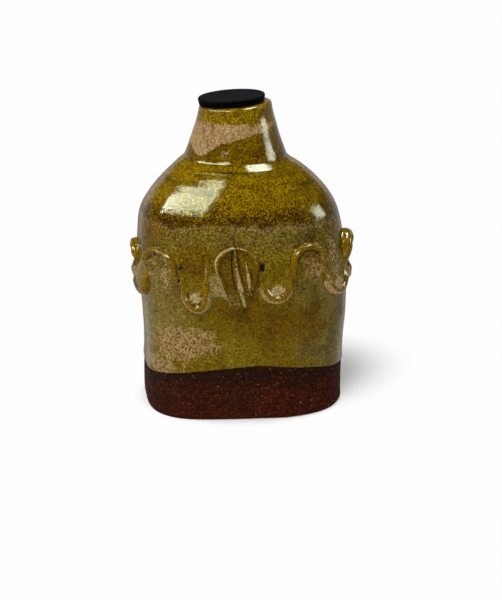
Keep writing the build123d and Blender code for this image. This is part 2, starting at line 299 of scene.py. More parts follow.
class FlaskNeckSizes(PropertyGroup):
    lean: length_property("Lean", "Sideways shift of the neck", -4.2)
    foot: length_property("Neck foot", "Diameter of the neck at its foot", 62.0)
    rim: length_property("Rim", "Diameter of the rim", 42.4)
    height: length_property("Rim height", "Height of the rim's middle", 179.9)
    slant: angle_property("Slant", "Slant of the rim", 3.9)
    outer_round: length_property("Outer rim edge", "Radius of the rim's outer edge", 1.6)
    inner_round: length_property("Inner rim edge", "Radius of the rim's inner edge", 0.9)
    mouth: length_property("Mouth", "Diameter of the mouth", 29.1)
    mouth_depth: length_property("Mouth depth", "Depth of the mouth's even bore", 19.0)
    mouth_offset: length_property("Mouth offset", "Sideways shift of the mouth in the rim", -2.0)


class FlaskStripSizes(PropertyGroup):
    height: length_property("Middle height", "Height where the arches turn into cups", 86.5)
    rise: length_property("Rise", "How far the arches rise", 18.5)
    drop: length_property("Drop", "How far the cups drop", 18.5)
    arch_proud: length_property("Arch stands proud", "How far an arch's lip stands off the wall", 3.9)
    cup_proud: length_property("Cup stands proud", "How far a cup's lip stands off the wall", 4.3)


class FlaskLeafSizes(PropertyGroup):
    lip_proud: length_property("Lobe lip", "How far the lobes' lips stand off the wall", 3.6)
    hollow_proud: length_property("Lobe hollow", "How far the lobes' hollows stand off the wall", 1.1)
    midrib_width: length_property("Midrib width", "Width of the rib down the middle", 3.4)
    midrib_proud: length_property("Midrib", "How far the midrib stands off the wall", 3.0)
    side_rib_width: length_property("Side rib width", "Width of the rib on the right lobe", 2.6)
    side_rib_proud: length_property("Side rib", "How far the side rib stands off the wall", 3.3)
    web_proud: length_property("Web", "How far the web of clay beside the leaf stands off the wall", 1.3)


class FlaskStopperSizes(PropertyGroup):
    diameter: length_property("Disc diameter", "Diameter of the stopper's disc", 39.6)
    thickness: length_property("Disc thickness", "Thickness of the disc", 4.5)
    foot_inset: length_property("Disc foot", "How far the disc's side tapers in to its foot", 0.7)
    top_round: length_property("Disc top edge", "Radius of the disc's upper edge", 1.3)
    seat_gap: length_property("Seat gap", "Gap between the rim and the disc", 0.2)
    dish: length_property("Dish", "Depth of the shallow hollow in the disc's top", 0.25)


class FlaskGlazeColours(PropertyGroup):
    ochre: colour_property("Ochre", "Bright glaze on the shoulder and neck", 128, 101, 2)
    olive: colour_property("Olive", "Glaze on the lower wall", 118, 98, 11)
    moss: colour_property("Moss", "Greyer glaze above the strip and at the sides", 113, 94, 31)
    rust: colour_property("Rust", "Iron-brown speckle round the shoulder", 40, 22, 4)
    umber: colour_property("Umber", "Brown glaze round the strip and on the neck", 102, 74, 2)
    amber: colour_property("Amber", "Clear glaze on the rolled clay", 124, 94, 4)
    celadon: colour_property("Celadon", "Pale glaze on the web beside the leaf", 146, 128, 76)
    tan: colour_property("Tan", "Places where the glaze broke to a pinkish tan", 170, 136, 90)
    # Cream on the lips is partly painted reflection: glints on the arches, the floor in the cups' lower lips
    # and the softbox on the left lobe's edge.
    cream: colour_property("Cream", "Pooled glaze and thin glaze on the lips", 180, 154, 104)
    # This colour also paints the pinholes and the leaf's crease near-black, as painted shade.
    iron_and_shade: colour_property("Iron", "Dark specks that bled through the glaze", 22, 12, 5)
    gloss: FloatProperty(name="Gloss", description="Strength of the gloss", default=0.055, min=0.0, max=1.0)


class FlaskClayColours(PropertyGroup):
    brown: colour_property("Brown", "Bare clay on the foot", 50, 25, 11)
    red: colour_property("Red", "Where the foot fired redder", 68, 22, 7)
    dark: colour_property("Dark", "Where the foot fired darker", 33, 17, 9)
    grog: colour_property("Grog", "Pale grains in the clay", 158, 118, 66)


class FlaskStopperColours(PropertyGroup):
    black: colour_property("Black", "Stained wood of the disc and the stem", 3, 3, 4)
    # Lighter paint on the disc's top: stain rubbed thin there, and a painted sheen.
    rubbed_and_sheen: colour_property("Rubbed", "Where the stain is worn thin", 21, 22, 26)
    cork: colour_property("Cork", "Sleeve round the stem", 176, 128, 80)
    cork_dark: colour_property("Cork grain", "Pores in the cork", 84, 52, 30)


class FlaskStudio(PropertyGroup):
    camera_turn: angle_property("Camera turn", "Camera's place round the flask from the front", -8.0)
    camera_lift: angle_property("Camera lift", "Camera's height as an angle", 15.0)
    camera_distance: length_property("Camera distance", "Distance from the flask's middle", 950.0)
    camera_height: length_property("Middle height", "Height of the point that the camera goes round", 95.0)
    aim_across: length_property("Aim across", "How far right of that point the camera looks", 5.0)
    aim_down: length_property("Aim down", "How far below that point the camera looks", 34.4)
    lens: FloatProperty(name="Lens", description="Focal length in millimetres", default=95.0)
    floor: colour_property("Floor", "Floor that the flask stands on", 253, 253, 253)
    world: colour_property("World", "Soft light from all round", 97, 97, 98)
    key: power_property("Key", "Power of the soft light at the front left", 8.6)
    top_panel: power_property("Top panel", "Power of the panel overhead", 9.8)
    left_sheen: power_property("Left sheen", "Power of the wide softbox that only gloss shows", 176.0)
    right_sheen: power_property("Right sheen", "Power of the small softbox that only gloss shows", 14.0)
    top_sheen: power_property("Top sheen", "Power of the softbox overhead that only gloss shows", 150.0)


class FlaskForm:
    """The shell's and neck's surfaces, worked out once from their sizes."""

    girth_points = 720
    paddled_fade = (25 * MM, 60 * MM)
    thrown_fade = (112 * MM, 122 * MM)
    ring_pitch, ring_depth = 3.1 * MM, 0.008 * MM
    ridge_height, ridge_width, ridge_depth = 144.9 * MM, 1.1 * MM, 0.12 * MM
    lump_depth, dent_depth = 0.34 * MM, 0.13 * MM

    def __init__(self, scene):
        shell, neck, strip = scene.flask_shell, scene.flask_neck, scene.flask_strip
        self.shell, self.neck = shell, neck
        self.belly, self.top = shell.belly_height, shell.height
        self.lean, self.slant = neck.lean, neck.slant
        rows = []
        for up, width, depth, square, lean in WALL_OUTLINE:
            rows.append((
                up * shell.belly_height,
                (shell.foot_width + (shell.belly_width - shell.foot_width) * width) / 2,
                (shell.foot_depth + (shell.belly_depth - shell.foot_depth) * depth) / 2,
                2 + (shell.squareness - 2) * square,
                neck.lean * lean,
            ))
        for up, width, depth, square, lean in SHOULDER_OUTLINE:
            rows.append((
                shell.belly_height + (shell.height - shell.belly_height) * up,
                (shell.ledge + (shell.belly_width - shell.ledge) * width) / 2,
                (shell.ledge + (shell.belly_depth - shell.ledge) * depth) / 2,
                2 + (shell.squareness - 2) * square,
                neck.lean * lean,
            ))
        self.rows = rows
        self.sections = {}
        self.band = strip.height
        turns = [math.tau * k / self.girth_points for k in range(self.girth_points + 1)]
        points = [self.point(turn, self.band) for turn in turns]
        run = [0.0]
        for here, after in zip(points, points[1:]):
            run.append(run[-1] + (after - here).length)
        self.girth = run[-1]
        self.run = [distance / self.girth for distance in run]

    def section(self, height):
        key = round(height, 7)
        if key not in self.sections:
            self.sections[key] = smooth_through(self.rows, height)
        return self.sections[key]

    def point(self, angle, height, stand_off=0.0):
        """Point of the shell in the direction of an angle from the front, moved outwards."""
        half_width, half_depth, squareness, shift = self.section(height)
        x, y = math.sin(angle), -math.cos(angle)
        across, along = abs(x) / (half_width + stand_off), abs(y) / (half_depth + stand_off)
        reach = (across**squareness + along**squareness) ** (-1 / squareness) + self.paddled(angle, height)
        return Vector((shift + x * reach, y * reach, height))

    def paddled(self, angle, height):
        """How far the foot's corners and flats stand off its even outline."""
        left = 1.0 - smooth_step(*self.paddled_fade, height)
        if left == 0.0:
            return 0.0
        turn = math.degrees(math.atan2(math.sin(angle), abs(math.cos(angle))))
        outs = [out * MM * math.exp(-0.5 * ((turn - at) / spread) ** 2) for at, spread, out in PADDLED]
        return left * sum(outs)

    def outward(self, angle, height):
        """Direction square to the shell's surface."""
        turn, lift = 0.004, 0.0004
        low, high = max(height - lift, 0.0), min(height + lift, self.top)
        along = self.point(angle + turn, height) - self.point(angle - turn, height)
        up = self.point(angle, high) - self.point(angle, low)
        return along.cross(up).normalized()

    def angle_at(self, share):
        """Angle from the front of the place that lies a share of the way round the belly."""
        turns = math.floor(share)
        share -= turns
        k = min(bisect.bisect_right(self.run, share) - 1, self.girth_points - 1)
        part_way = (share - self.run[k]) / (self.run[k + 1] - self.run[k])
        return math.tau * (turns + (k + part_way) / self.girth_points)

    def share_at(self, angle):
        """Share of the way round the belly, from -0.5 to 0.5, of an angle from the front."""
        place = (angle / math.tau % 1.0) * self.girth_points
        k = min(int(place), self.girth_points - 1)
        share = self.run[k] + (self.run[k + 1] - self.run[k]) * (place - k)
        return share if share < 0.5 else share - 1.0

    def marks(self, point):
        """How far the potter's hands left the surface in or out at a point."""
        lumps = self.lump_depth * noise.noise(point * 26) + self.dent_depth * noise.noise(point * 85)
        thrown = smooth_step(*self.thrown_fade, point.z)
        drift = ripple(point.x, point.y, 12, 3.0)
        turns = point.z / self.ring_pitch
        rings = math.sin(turns * math.tau * 0.8 + 2.2 * drift) + 0.6 * math.sin(turns * 3.3)
        ridge = self.ridge_depth * hump(point.z, self.ridge_height, self.ridge_width)
        return lumps + thrown * rings * self.ring_depth + ridge

    def on_wall(self, run, height, stand_off):
        """Point that stands off the marked wall at a distance round the belly and a height."""
        angle = self.angle_at(run / self.girth)
        place = self.point(angle, height)
        return place + self.outward(angle, height) * (stand_off + self.marks(place) + self.shell.glaze_coat)

    def glaze_edge(self, angle):
        """Height of the glaze's lower edge."""
        wave = self.shell.glaze_wave * math.cos(2 * angle)
        runs = 0.7 * MM * ripple(math.sin(angle), math.cos(angle), 2.2, 7.0)
        crumbs = 0.16 * MM * ripple(math.sin(angle), math.cos(angle), 16, 5.0)
        return self.shell.glaze_line + wave + runs + crumbs

    def neck_radius(self, height):
        up = (height - self.top) / (self.neck.height - self.top)
        left = smooth_through(NECK_OUTLINE, min(max(up, 0.0), 1.0))[0]
        return self.neck.rim / 2 + (self.neck.foot - self.neck.rim) / 2 * left

    def mouth_point(self, x, y, z):
        """Point given across, along and above the middle of the slanting mouth."""
        slant = self.slant
        middle_x = self.lean + self.neck.mouth_offset
        middle_z = self.neck.height + self.neck.mouth_offset * math.tan(slant)
        return Vector((
            middle_x + x * math.cos(slant) - z * math.sin(slant),
            y,
            middle_z + x * math.sin(slant) + z * math.cos(slant),
        ))


def oval_reach(form, oval, share, height):
    """Distance from the middle of an oval on the shell, as a share of its radius."""
    middle, level, half_width, half_height = oval
    across = ((share - middle + 0.5) % 1.0 - 0.5) * form.girth
    return math.hypot(across / (half_width * MM), (height - level * MM) / (half_height * MM))


def patch_share(form, name, share, height):
    """How far a place lies inside a patch of glaze: a half at its edge, its strength well inside."""
    best = 0.0
    for *oval, strength in PATCHES[name]:
        best = max(best, min(1.0 - 0.5 * oval_reach(form, oval, share, height), strength))
    return best


def pinhole_share(form, share, height):
    """How deep a place lies in a pinhole: one at its middle, nothing outside."""
    best = 0.0
    for oval in PINHOLES:
        best = max(best, 1.0 - smooth_step(0.35, 1.25, oval_reach(form, oval, share, height)))
    return best


def rolled_lip(inward, crest, floor, width, turn):
    """Height of a clay lip at a distance in from its outer foot, with a small fillet of glaze there."""
    fillet = min(0.22 * MM, 0.3 * max(crest, 0.0))
    if inward < 0:
        return fillet * max(1.0 + inward / (0.6 * MM), 0.0) ** 2
    if inward < width:
        return fillet + (crest - fillet) * math.sqrt(max(1.0 - (1.0 - inward / width) ** 2, 0.0))
    return floor + (crest - floor) * math.cos(min((inward - width) / turn, 1.0) * math.pi / 2) ** 2


# Mesh helpers

def face_outwards(bm):
    """Turns the faces of one closed form outwards."""
    bmesh.ops.recalc_face_normals(bm, faces=bm.faces[:])
    if bm.calc_volume(signed=True) < 0:
        bmesh.ops.reverse_faces(bm, faces=bm.faces[:])


def lathe(bm, outline, steps, closed):
    """Spins an outline of radius and height round Z, and closes its seam and poles."""
    verts = [bm.verts.new((radius, 0.0, height)) for radius, height in outline]
    edges = [bm.edges.new(pair) for pair in zip(verts, verts[1:])]
    if closed:
        edges.append(bm.edges.new((verts[-1], verts[0])))
    bmesh.ops.spin(
        bm, geom=verts + edges, cent=(0, 0, 0), axis=(0, 0, 1), dvec=(0, 0, 0), angle=math.tau, steps=steps,
        use_merge=True,
    )
    bmesh.ops.remove_doubles(bm, verts=bm.verts[:], dist=1e-7)
    bmesh.ops.dissolve_degenerate(bm, edges=bm.edges[:], dist=1e-7)
    face_outwards(bm)


def edges_between(bm, low, high, longer_than=0.0):
    """Edges that run up the lathe's form between two heights, both ends included."""
    found = []
    for edge in bm.edges:
        a, b = edge.verts[0].co.z, edge.verts[1].co.z
        inside = min(a, b) > low - TINY and max(a, b) < high + TINY
        if inside and abs(a - b) > TINY and edge.calc_length() > longer_than:
            found.append(edge)
    return found


def edges_outside(edges, radius):
    return [edge for edge in edges if math.hypot(*edge.verts[0].co.xy) > radius]


def loops_at(bm, radius, height):
    """Edges of the ring with that radius and height."""
    found = []
    for edge in bm.edges:
        off = [max(abs(math.hypot(*v.co.xy) - radius), abs(v.co.z - height)) for v in edge.verts]
        if max(off) < TINY:
            found.append(edge)
    return found


def subdivide(bm, edges, cuts):
    bmesh.ops.subdivide_edges(bm, edges=edges, cuts=cuts, use_grid_fill=True)


def rounded(bm, edges, radius, segments):
    bmesh.ops.bevel(
        bm, geom=edges, offset=radius, offset_type="OFFSET", segments=segments, profile=0.5, affect="EDGES",
        material=-1, clamp_overlap=False,
    )


def raise_copy(bm, made, height):
    """Lifts what an extrusion has made."""
    raised = [item for item in made["geom"] if isinstance(item, bmesh.types.BMVert)]
    bmesh.ops.translate(bm, verts=raised, vec=(0.0, 0.0, height))


def clay_slab(along, across):
    """Closed slab of even squares, 1 by 1 by 1, with its front at z = 1 and the layers that glaze reads."""
    bm = bmesh.new()
    bmesh.ops.create_grid(bm, x_segments=along, y_segments=across, size=0.5)
    bmesh.ops.translate(bm, verts=bm.verts[:], vec=(0.5, 0.5, 0.0))
    raise_copy(bm, bmesh.ops.extrude_face_region(bm, geom=bm.faces[:], use_keep_orig=True), 1.0)
    return bm, new_layers(bm, RELIEF_LAYERS)


def new_layers(bm, names):
    return {name: bm.verts.layers.float.new(name) for name in names}


def paint(v, layers, **values):
    """Writes a vertex's values in the layers of those names."""
    for name, value in values.items():
        v[layers[name]] = value


def make_piece(bm, name, material, body, replaced, sharp=math.radians(55)):
    """Turns a finished bmesh into a piece of the flask, in the slot that its material is named after."""
    for face in bm.faces:
        face.smooth = True
    for edge in bm.edges:
        edge.smooth = edge.calc_face_angle(0.0) < sharp
    mesh = bpy.data.meshes.new(name)
    bm.to_mesh(mesh)
    bm.free()
    mesh.materials.append(material)
    piece = bpy.data.objects.new(name, mesh)
    bpy.context.scene.collection.objects.link(piece)
    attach(piece, body)
    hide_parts(*replaced)


# Materials

class Recipe:
    """A material's nodes, added one after another in front of its shader."""

    def __init__(self, name):
        self.material = bpy.data.materials.get(name) or bpy.data.materials.new(name)
        self.material.use_nodes = True
        self.tree = self.material.node_tree
        self.tree.nodes.clear()
        self.output = self.add("ShaderNodeOutputMaterial")
        self.place = self.add("ShaderNodeTexCoord").outputs["Object"]

    def add(self, kind, **inputs):
        node = self.tree.nodes.new(kind)
        for name, value in inputs.items():
            self.feed(node.inputs[name.replace("_", " ")], value)
        return node

    def feed(self, socket, value):
        if isinstance(value, bpy.types.NodeSocket):
            self.tree.links.new(value, socket)
        else:
            socket.default_value = value

    def up(self):
        return self.add("ShaderNodeSeparateXYZ", Vector=self.place).outputs["Z"]

    def stretched(self, x, y, z):
        mapping = self.add("ShaderNodeMapping", Vector=self.place)
        mapping.inputs["Scale"].default_value = (x, y, z)
        return mapping.outputs["Vector"]

    def cloud(self, scale, detail, roughness, place=None):
        return self.add(
            "ShaderNodeTexNoise", Vector=place or self.place, Scale=scale, Detail=detail, Roughness=roughness
        ).outputs["Fac"]

    def between(self, value, low, high, start=0.0, end=1.0):
        """Smooth ramp of a value from low to high."""
        node = self.add("ShaderNodeMapRange")
        node.interpolation_type = "SMOOTHSTEP"
        limits = {"Value": value, "From Min": low, "From Max": high, "To Min": start, "To Max": end}
        for name, amount in limits.items():
            self.feed(node.inputs[name], amount)
        return node.outputs["Result"]

    def sum(self, *values, operation="ADD"):
        total = values[0]
        for value in values[1:]:
            node = self.add("ShaderNodeMath")
            node.operation = operation
            self.feed(node.inputs[0], total)
            self.feed(node.inputs[1], value)
            total = node.outputs[0]
        return total

    def product(self, *values):
        return self.sum(*values, operation="MULTIPLY")

    def most(self, *values):
        return self.sum(*values, operation="MAXIMUM")

    def rest(self, value):
        """What a share leaves of one."""
        return self.sum(1.0, value, operation="SUBTRACT")

    def swing(self, cloud, amount):
        """A cloud that swings round zero, times an amount."""
        return self.product(self.sum(cloud, -0.5), amount)

    def mixed(self, share, first, second, blend="MIX"):
        node = self.add("ShaderNodeMix")
        node.data_type = "RGBA"
        node.blend_type = blend
        self.feed(node.inputs[0], share)
        for socket, colour in ((node.inputs[6], first), (node.inputs[7], second)):
            self.feed(socket, colour if isinstance(colour, bpy.types.NodeSocket) else (*colour, 1.0))
        return node.outputs[2]

    def shaded(self, colour, red, green, blue):
        """A colour times a shade for each of its three parts."""
        shade = self.add("ShaderNodeCombineColor", Red=red, Green=green, Blue=blue)
        return self.mixed(1.0, colour, shade.outputs[0], "MULTIPLY")

    def grains(self, scale, size, kept, place=None):
        """Scattered grains: cells per metre, a grain's size in its cell, and the share of cells with one."""
        cells = self.add("ShaderNodeTexVoronoi", Vector=place or self.place, Scale=scale)
        chance = self.add("ShaderNodeSeparateColor", Color=cells.outputs["Color"])
        dot = self.between(cells.outputs["Distance"], size * 0.45, size, 1.0, 0.0)
        return self.product(dot, self.between(chance.outputs["Red"], 1.0 - kept, 1.0 - kept + 0.02))

    def field(self, name):
        node = self.add("ShaderNodeAttribute")
        node.attribute_name = name
        return node.outputs["Fac"]

    def edge_on(self):
        """How far the surface turns away from the eye."""
        return self.add("ShaderNodeLayerWeight", Blend=0.5).outputs["Facing"]

    def bump(self, height, distance, strength, normal=None):
        node = self.add("ShaderNodeBump", Height=height, Distance=distance, Strength=strength)
        if normal is not None:
            self.feed(node.inputs["Normal"], normal)
        return node.outputs["Normal"]

    def finish(self, colour, roughness, normal, specular, tint=(1.0, 1.0, 1.0)):
        shader = self.add("ShaderNodeBsdfPrincipled", Base_Color=colour, Roughness=roughness, Normal=normal)
        shader.inputs["Specular IOR Level"].default_value = specular
        shader.inputs["Specular Tint"].default_value = (*tint, 1.0)
        self.tree.links.new(shader.outputs[0], self.output.inputs["Surface"])
        return self.material


class Glaze(Recipe):
    """Runny ash glaze: ochre above, olive below, iron specks, and tan where it broke."""

    def __init__(self, name, colours):
        super().__init__(name)
        self.colours = colours
        self.wander = self.cloud(62.0, 3.0, 0.55)
        self.broad = self.cloud(24.0, 2.0, 0.5)
        self.medium = self.cloud(230.0, 3.0, 0.6)
        self.pepper = self.cloud(850.0, 2.0, 0.6)
        z = self.up()
        self.height = self.stirred(z, wander=12 * MM, medium=7 * MM, pepper=9 * MM)
        self.on_neck = self.between(z, 147 * MM, 149 * MM)
        self.off_neck = self.rest(self.on_neck)
        self.band = self.product(self.above(115, 118.5), self.below(118.5, 131))
        self.rings = self.cloud(300.0, 3.0, 0.65, self.stretched(0.08, 0.08, 1.0))
        self.ringed = self.product(self.above(124, 134), self.off_neck)
        self.blots = self.grains(105.0, 0.10, 0.13)
        # Mask of the pinholes and the leaf's crease, which are painted near-black as shade.
        self.hole = self.between(self.field("pit"), 0.12, 0.5)

    def stirred(self, value, **amounts):
        """A value that the clouds of those names move up and down by those amounts."""
        return self.sum(value, *(self.swing(getattr(self, name), amount) for name, amount in amounts.items()))

    def above(self, start, end):
        """Ramp up between two heights in millimetres, along the glaze's uneven levels."""
        return self.between(self.height, start * MM, end * MM)

    def below(self, start, end):
        return self.between(self.height, start * MM, end * MM, 1.0, 0.0)

    def wall(self):
        """Olive that turns to moss higher up, with browner and paler places."""
        c = self.colours
        colour = self.mixed(self.between(self.broad, 0.38, 0.66, 0.0, 0.55), c.olive, c.umber)
        moss = self.product(self.above(99, 107), self.between(self.wander, 0.30, 0.52, 0.45, 1.0))
        pale = self.between(self.stirred(self.field("pale"), wander=0.6), 0.20, 0.80, 0.0, 0.9)
        colour = self.mixed(self.most(moss, pale), colour, c.moss)
        colour = self.mixed(self.product(pale, 0.30), colour, c.celadon)
        brown = self.stirred(self.field("brown"), wander=0.9, medium=0.5)
        return self.mixed(self.between(brown, 0.36, 0.80, 0.0, 0.92), colour, c.umber)

    def shoulder(self, colour):
        """Ochre above the line where the glazes meet, a brown band on that line, and a darker neck."""
        c = self.colours
        thin = self.between(self.wander, 0.40, 0.60, 0.1, 0.45)
        colour = self.mixed(self.product(self.above(114, 116), self.below(116.5, 119), thin), colour, c.tan)
        colour = self.mixed(self.above(116, 119.5), colour, c.ochre)
        low_neck = self.product(self.on_neck, self.below(160, 170))
        for place, amount in ((self.band, 0.60), (self.on_neck, 0.18), (low_neck, 0.75)):
            colour = self.mixed(self.product(place, amount), colour, c.umber)
        return self.mixed(self.product(self.between(self.wander, 0.52, 0.66), 0.35), colour, c.rust)

    def applied(self, colour):
        """Amber on the rolled clay, rust and painted shade in its grooves and celadon on the web."""
        c = self.colours
        amber = self.stirred(self.field("crest"), medium=0.5)
        colour = self.mixed(self.between(amber, 0.25, 0.75, 0.0, 0.85), colour, c.amber)
        # Dark line in the grooves: pooled rust glaze and painted shade.
        groove = self.stirred(self.field("groove"), pepper=0.7)
        colour = self.mixed(self.between(groove, 0.20, 0.75, 0.0, 0.88), colour, c.rust)
        return self.mixed(self.between(self.field("web"), 0.1, 0.9, 0.0, 0.8), colour, c.celadon)

    def broken(self, colour):
        """Pinkish tan where the glaze broke, mottled on the wall and streaked on the neck."""
        runs = self.cloud(560.0, 3.0, 0.65, self.stretched(1.0, 1.0, 0.24))
        field = self.field("tan")
        mottle = self.stirred(0.0, pepper=0.55, medium=0.65, wander=0.5)
        streak = self.sum(self.swing(runs, 0.75), self.swing(self.medium, 0.3))
        edge = self.sum(self.product(mottle, self.off_neck), self.product(streak, self.on_neck))
        cover = self.between(self.sum(field, edge), 0.44, 0.76)
        self.tan = self.product(cover, self.between(self.on_neck, 0.0, 1.0, 0.66, 1.0))
        wall_dots = self.product(
            self.between(self.pepper, 0.38, 0.50, 1.0, 0.0), self.between(field, 0.66, 0.76, 0.36, 0.62),
            self.between(field, 0.78, 0.90, 1.0, 0.2), self.between(self.on_neck, 0.0, 1.0, 1.0, 0.18),
        )
        neck_dots = self.product(self.on_neck, self.between(runs, 0.34, 0.52, 0.42, 0.0))
        dotted = self.mixed(self.most(wall_dots, neck_dots), self.colours.tan, self.colours.rust)
        return self.mixed(self.product(self.tan, 0.92), colour, dotted)

    def creamy(self, colour):
        """Cream where the glaze pooled, and on the lips where it ran thin and where it is painted as a
        reflection.
        """
        pool = self.between(self.stirred(self.field("pool"), medium=0.7, pepper=0.3), 0.50, 0.66, 0.0, 0.9)
        lip = self.between(self.stirred(self.field("lip"), medium=0.8, pepper=0.4), 0.45, 0.85, 0.0, 0.85)
        self.cream = self.most(pool, lip)
        return self.mixed(lip, self.mixed(pool, colour, self.colours.cream), self.colours.cream)

    def peppered(self, colour):
        """Light and dark grain, calmer low on the wall, on the neck's tan and in the cream."""
        dust = self.cloud(1600.0, 1.0, 0.5)
        shade = self.product(
            self.between(self.pepper, 0.32, 0.68, 0.42, 1.66), self.between(dust, 0.30, 0.70, 0.62, 1.38),
            self.between(self.medium, 0.28, 0.72, 0.82, 1.18),
            self.sum(1.0, self.product(self.sum(self.rings, -0.5), self.ringed, 1.6)),
        )
        calm = self.product(
            self.between(self.height, 75 * MM, 105 * MM, 0.66, 1.0),
            self.rest(self.product(self.tan, self.on_neck, 0.50)), self.rest(self.product(self.cream, 0.35)),
        )
        more = self.product(self.sum(shade, -1.0), calm)
        return self.shaded(colour, *(self.sum(1.0, self.product(more, part)) for part in (0.92, 1.08, 1.2)))

    def iron_and_shade(self, colour):
        """Throwing lines and fine rust, then iron specks, blots, and pinholes painted near-black as shade."""
        c = self.colours
        lines = self.product(self.ringed, self.between(self.rings, 0.50, 0.62))
        lines = self.product(lines, self.between(self.wander, 0.35, 0.6, 0.20, 0.55))
        colour = self.mixed(lines, colour, c.rust)
        speckle = self.sum(self.cloud(980.0, 2.0, 0.55), self.product(self.band, -0.20))
        colour = self.mixed(self.between(speckle, 0.30, 0.38, 0.85, 0.0), colour, c.rust)
        colour = self.mixed(self.product(self.grains(700.0, 0.42, 0.12), 0.7), colour, c.iron_and_shade)
        # Blots are near-black; so are the pinholes and the crease, as painted shade.
        return self.mixed(self.product(self.most(self.blots, self.hole), 0.96), colour, c.iron_and_shade)

    def surface(self, colour):
        """Gloss over small dimples, duller in pinholes, on tan and where the wall turns away."""
        roughness = self.sum(
            self.between(self.medium, 0.3, 0.7, 0.05, 0.10), self.product(self.tan, 0.12),
            self.product(self.hole, 0.6), self.between(self.edge_on(), 0.66, 0.95, 0.0, 0.38),
        )
        normal = self.bump(self.cloud(330.0, 2.0, 0.55), 0.24 * MM, 0.34)
        normal = self.bump(self.cloud(1000.0, 2.0, 0.6), 0.10 * MM, 0.50, normal)
        normal = self.bump(self.product(self.blots, -1.0), 0.3 * MM, 0.6, normal)
        return self.finish(colour, roughness, normal, self.colours.gloss, (0.86, 1.0, 0.66))


def glaze(name, colours, on_relief):
    r = Glaze(name, colours)
    colour = r.shoulder(r.wall())
    if on_relief:
        colour = r.applied(colour)
    colour = r.creamy(r.broken(colour))
    return r.surface(r.iron_and_shade(r.peppered(colour)))


def bare_clay(name, colours):
    """Iron-rich stoneware, unglazed, with pale grains of grog."""
    r = Recipe(name)
    z = r.up()
    broad = r.cloud(26.0, 3.0, 0.55)
    medium = r.cloud(240.0, 4.0, 0.7)
    fine = r.cloud(820.0, 3.0, 0.75)
    wiped = r.cloud(300.0, 3.0, 0.6, r.stretched(0.35, 0.35, 1.6))
    redness = r.product(r.between(r.sum(broad, r.product(z, -12.0)), 0.10, 0.42), 0.9)
    colour = r.mixed(redness, colours.brown, colours.red)
    top = r.between(r.sum(z, r.swing(broad, 20 * MM)), 15 * MM, 30 * MM)
    colour = r.mixed(r.product(top, 0.7), colour, colours.dark)
    colour = r.mixed(r.between(medium, 0.40, 0.66, 0.0, 0.6), colour, colours.dark)
    shade = r.product(r.between(fine, 0.30, 0.70, 0.22, 1.80), r.between(wiped, 0.3, 0.7, 0.80, 1.20))
    colour = r.shaded(colour, shade, shade, shade)
    large = r.grains(430.0, 0.27, 0.055)
    small = r.grains(900.0, 0.38, 0.13)
    colour = r.mixed(r.product(small, r.between(medium, 0.35, 0.6, 0.2, 0.6)), colour, colours.grog)
    colour = r.mixed(r.product(large, 0.9), colour, colours.grog)
    normal = r.bump(r.cloud(520.0, 4.0, 0.65), 0.35 * MM, 0.7)
    normal = r.bump(fine, 0.12 * MM, 0.8, normal)
    normal = r.bump(large, 0.25 * MM, 0.5, normal)
    return r.finish(colour, r.between(medium, 0.3, 0.7, 0.62, 0.86), normal, 0.012)


def black_wood(name, colours):
    """Fine wood stained black, with the grain across the disc."""
    r = Recipe(name)
    grain = r.cloud(1400.0, 3.0, 0.6, r.stretched(0.05, 1.0, 0.6))
    clouds = r.cloud(90.0, 3.0, 0.6)
    pores = r.cloud(3200.0, 2.0, 0.6, r.stretched(0.07, 1.0, 1.0))
    # Lighter top face: stain rubbed thin and a painted sheen.
    worn = r.product(r.field("worn"), r.between(clouds, 0.3, 0.7, 0.55, 1.0))
    worn = r.product(worn, r.between(grain, 0.3, 0.7, 0.6, 1.0))
    colour = r.mixed(worn, colours.black, colours.rubbed_and_sheen)
    colour = r.mixed(r.between(pores, 0.6, 0.75, 0.0, 0.7), colour, (0.001, 0.001, 0.001))
    normal = r.bump(pores, 0.05 * MM, 0.5, r.bump(grain, 0.10 * MM, 0.7))
    return r.finish(colour, r.between(grain, 0.3, 0.7, 0.60, 0.80), normal, 0.006)


def cork(name, colours):
    """Natural cork with dark pores."""
    r = Recipe(name)
    soft = r.cloud(160.0, 4.0, 0.6)
    fine = r.cloud(1300.0, 3.0, 0.7)
    pores = r.grains(330.0, 0.35, 0.22, r.stretched(1.0, 1.0, 0.45))
    colour = r.mixed(r.between(soft, 0.4, 0.75, 0.0, 0.4), colours.cork, colours.cork_dark)
    shade = r.between(fine, 0.2, 0.8, 0.82, 1.16)
    colour = r.shaded(colour, shade, shade, shade)
    colour = r.mixed(r.product(pores, 0.85), colour, colours.cork_dark)
    normal = r.bump(r.sum(fine, r.product(pores, -1.5)), 0.2 * MM, 0.7)
    return r.finish(colour, r.between(soft, 0.3, 0.7, 0.72, 0.88), normal, 0.3)


# Pieces

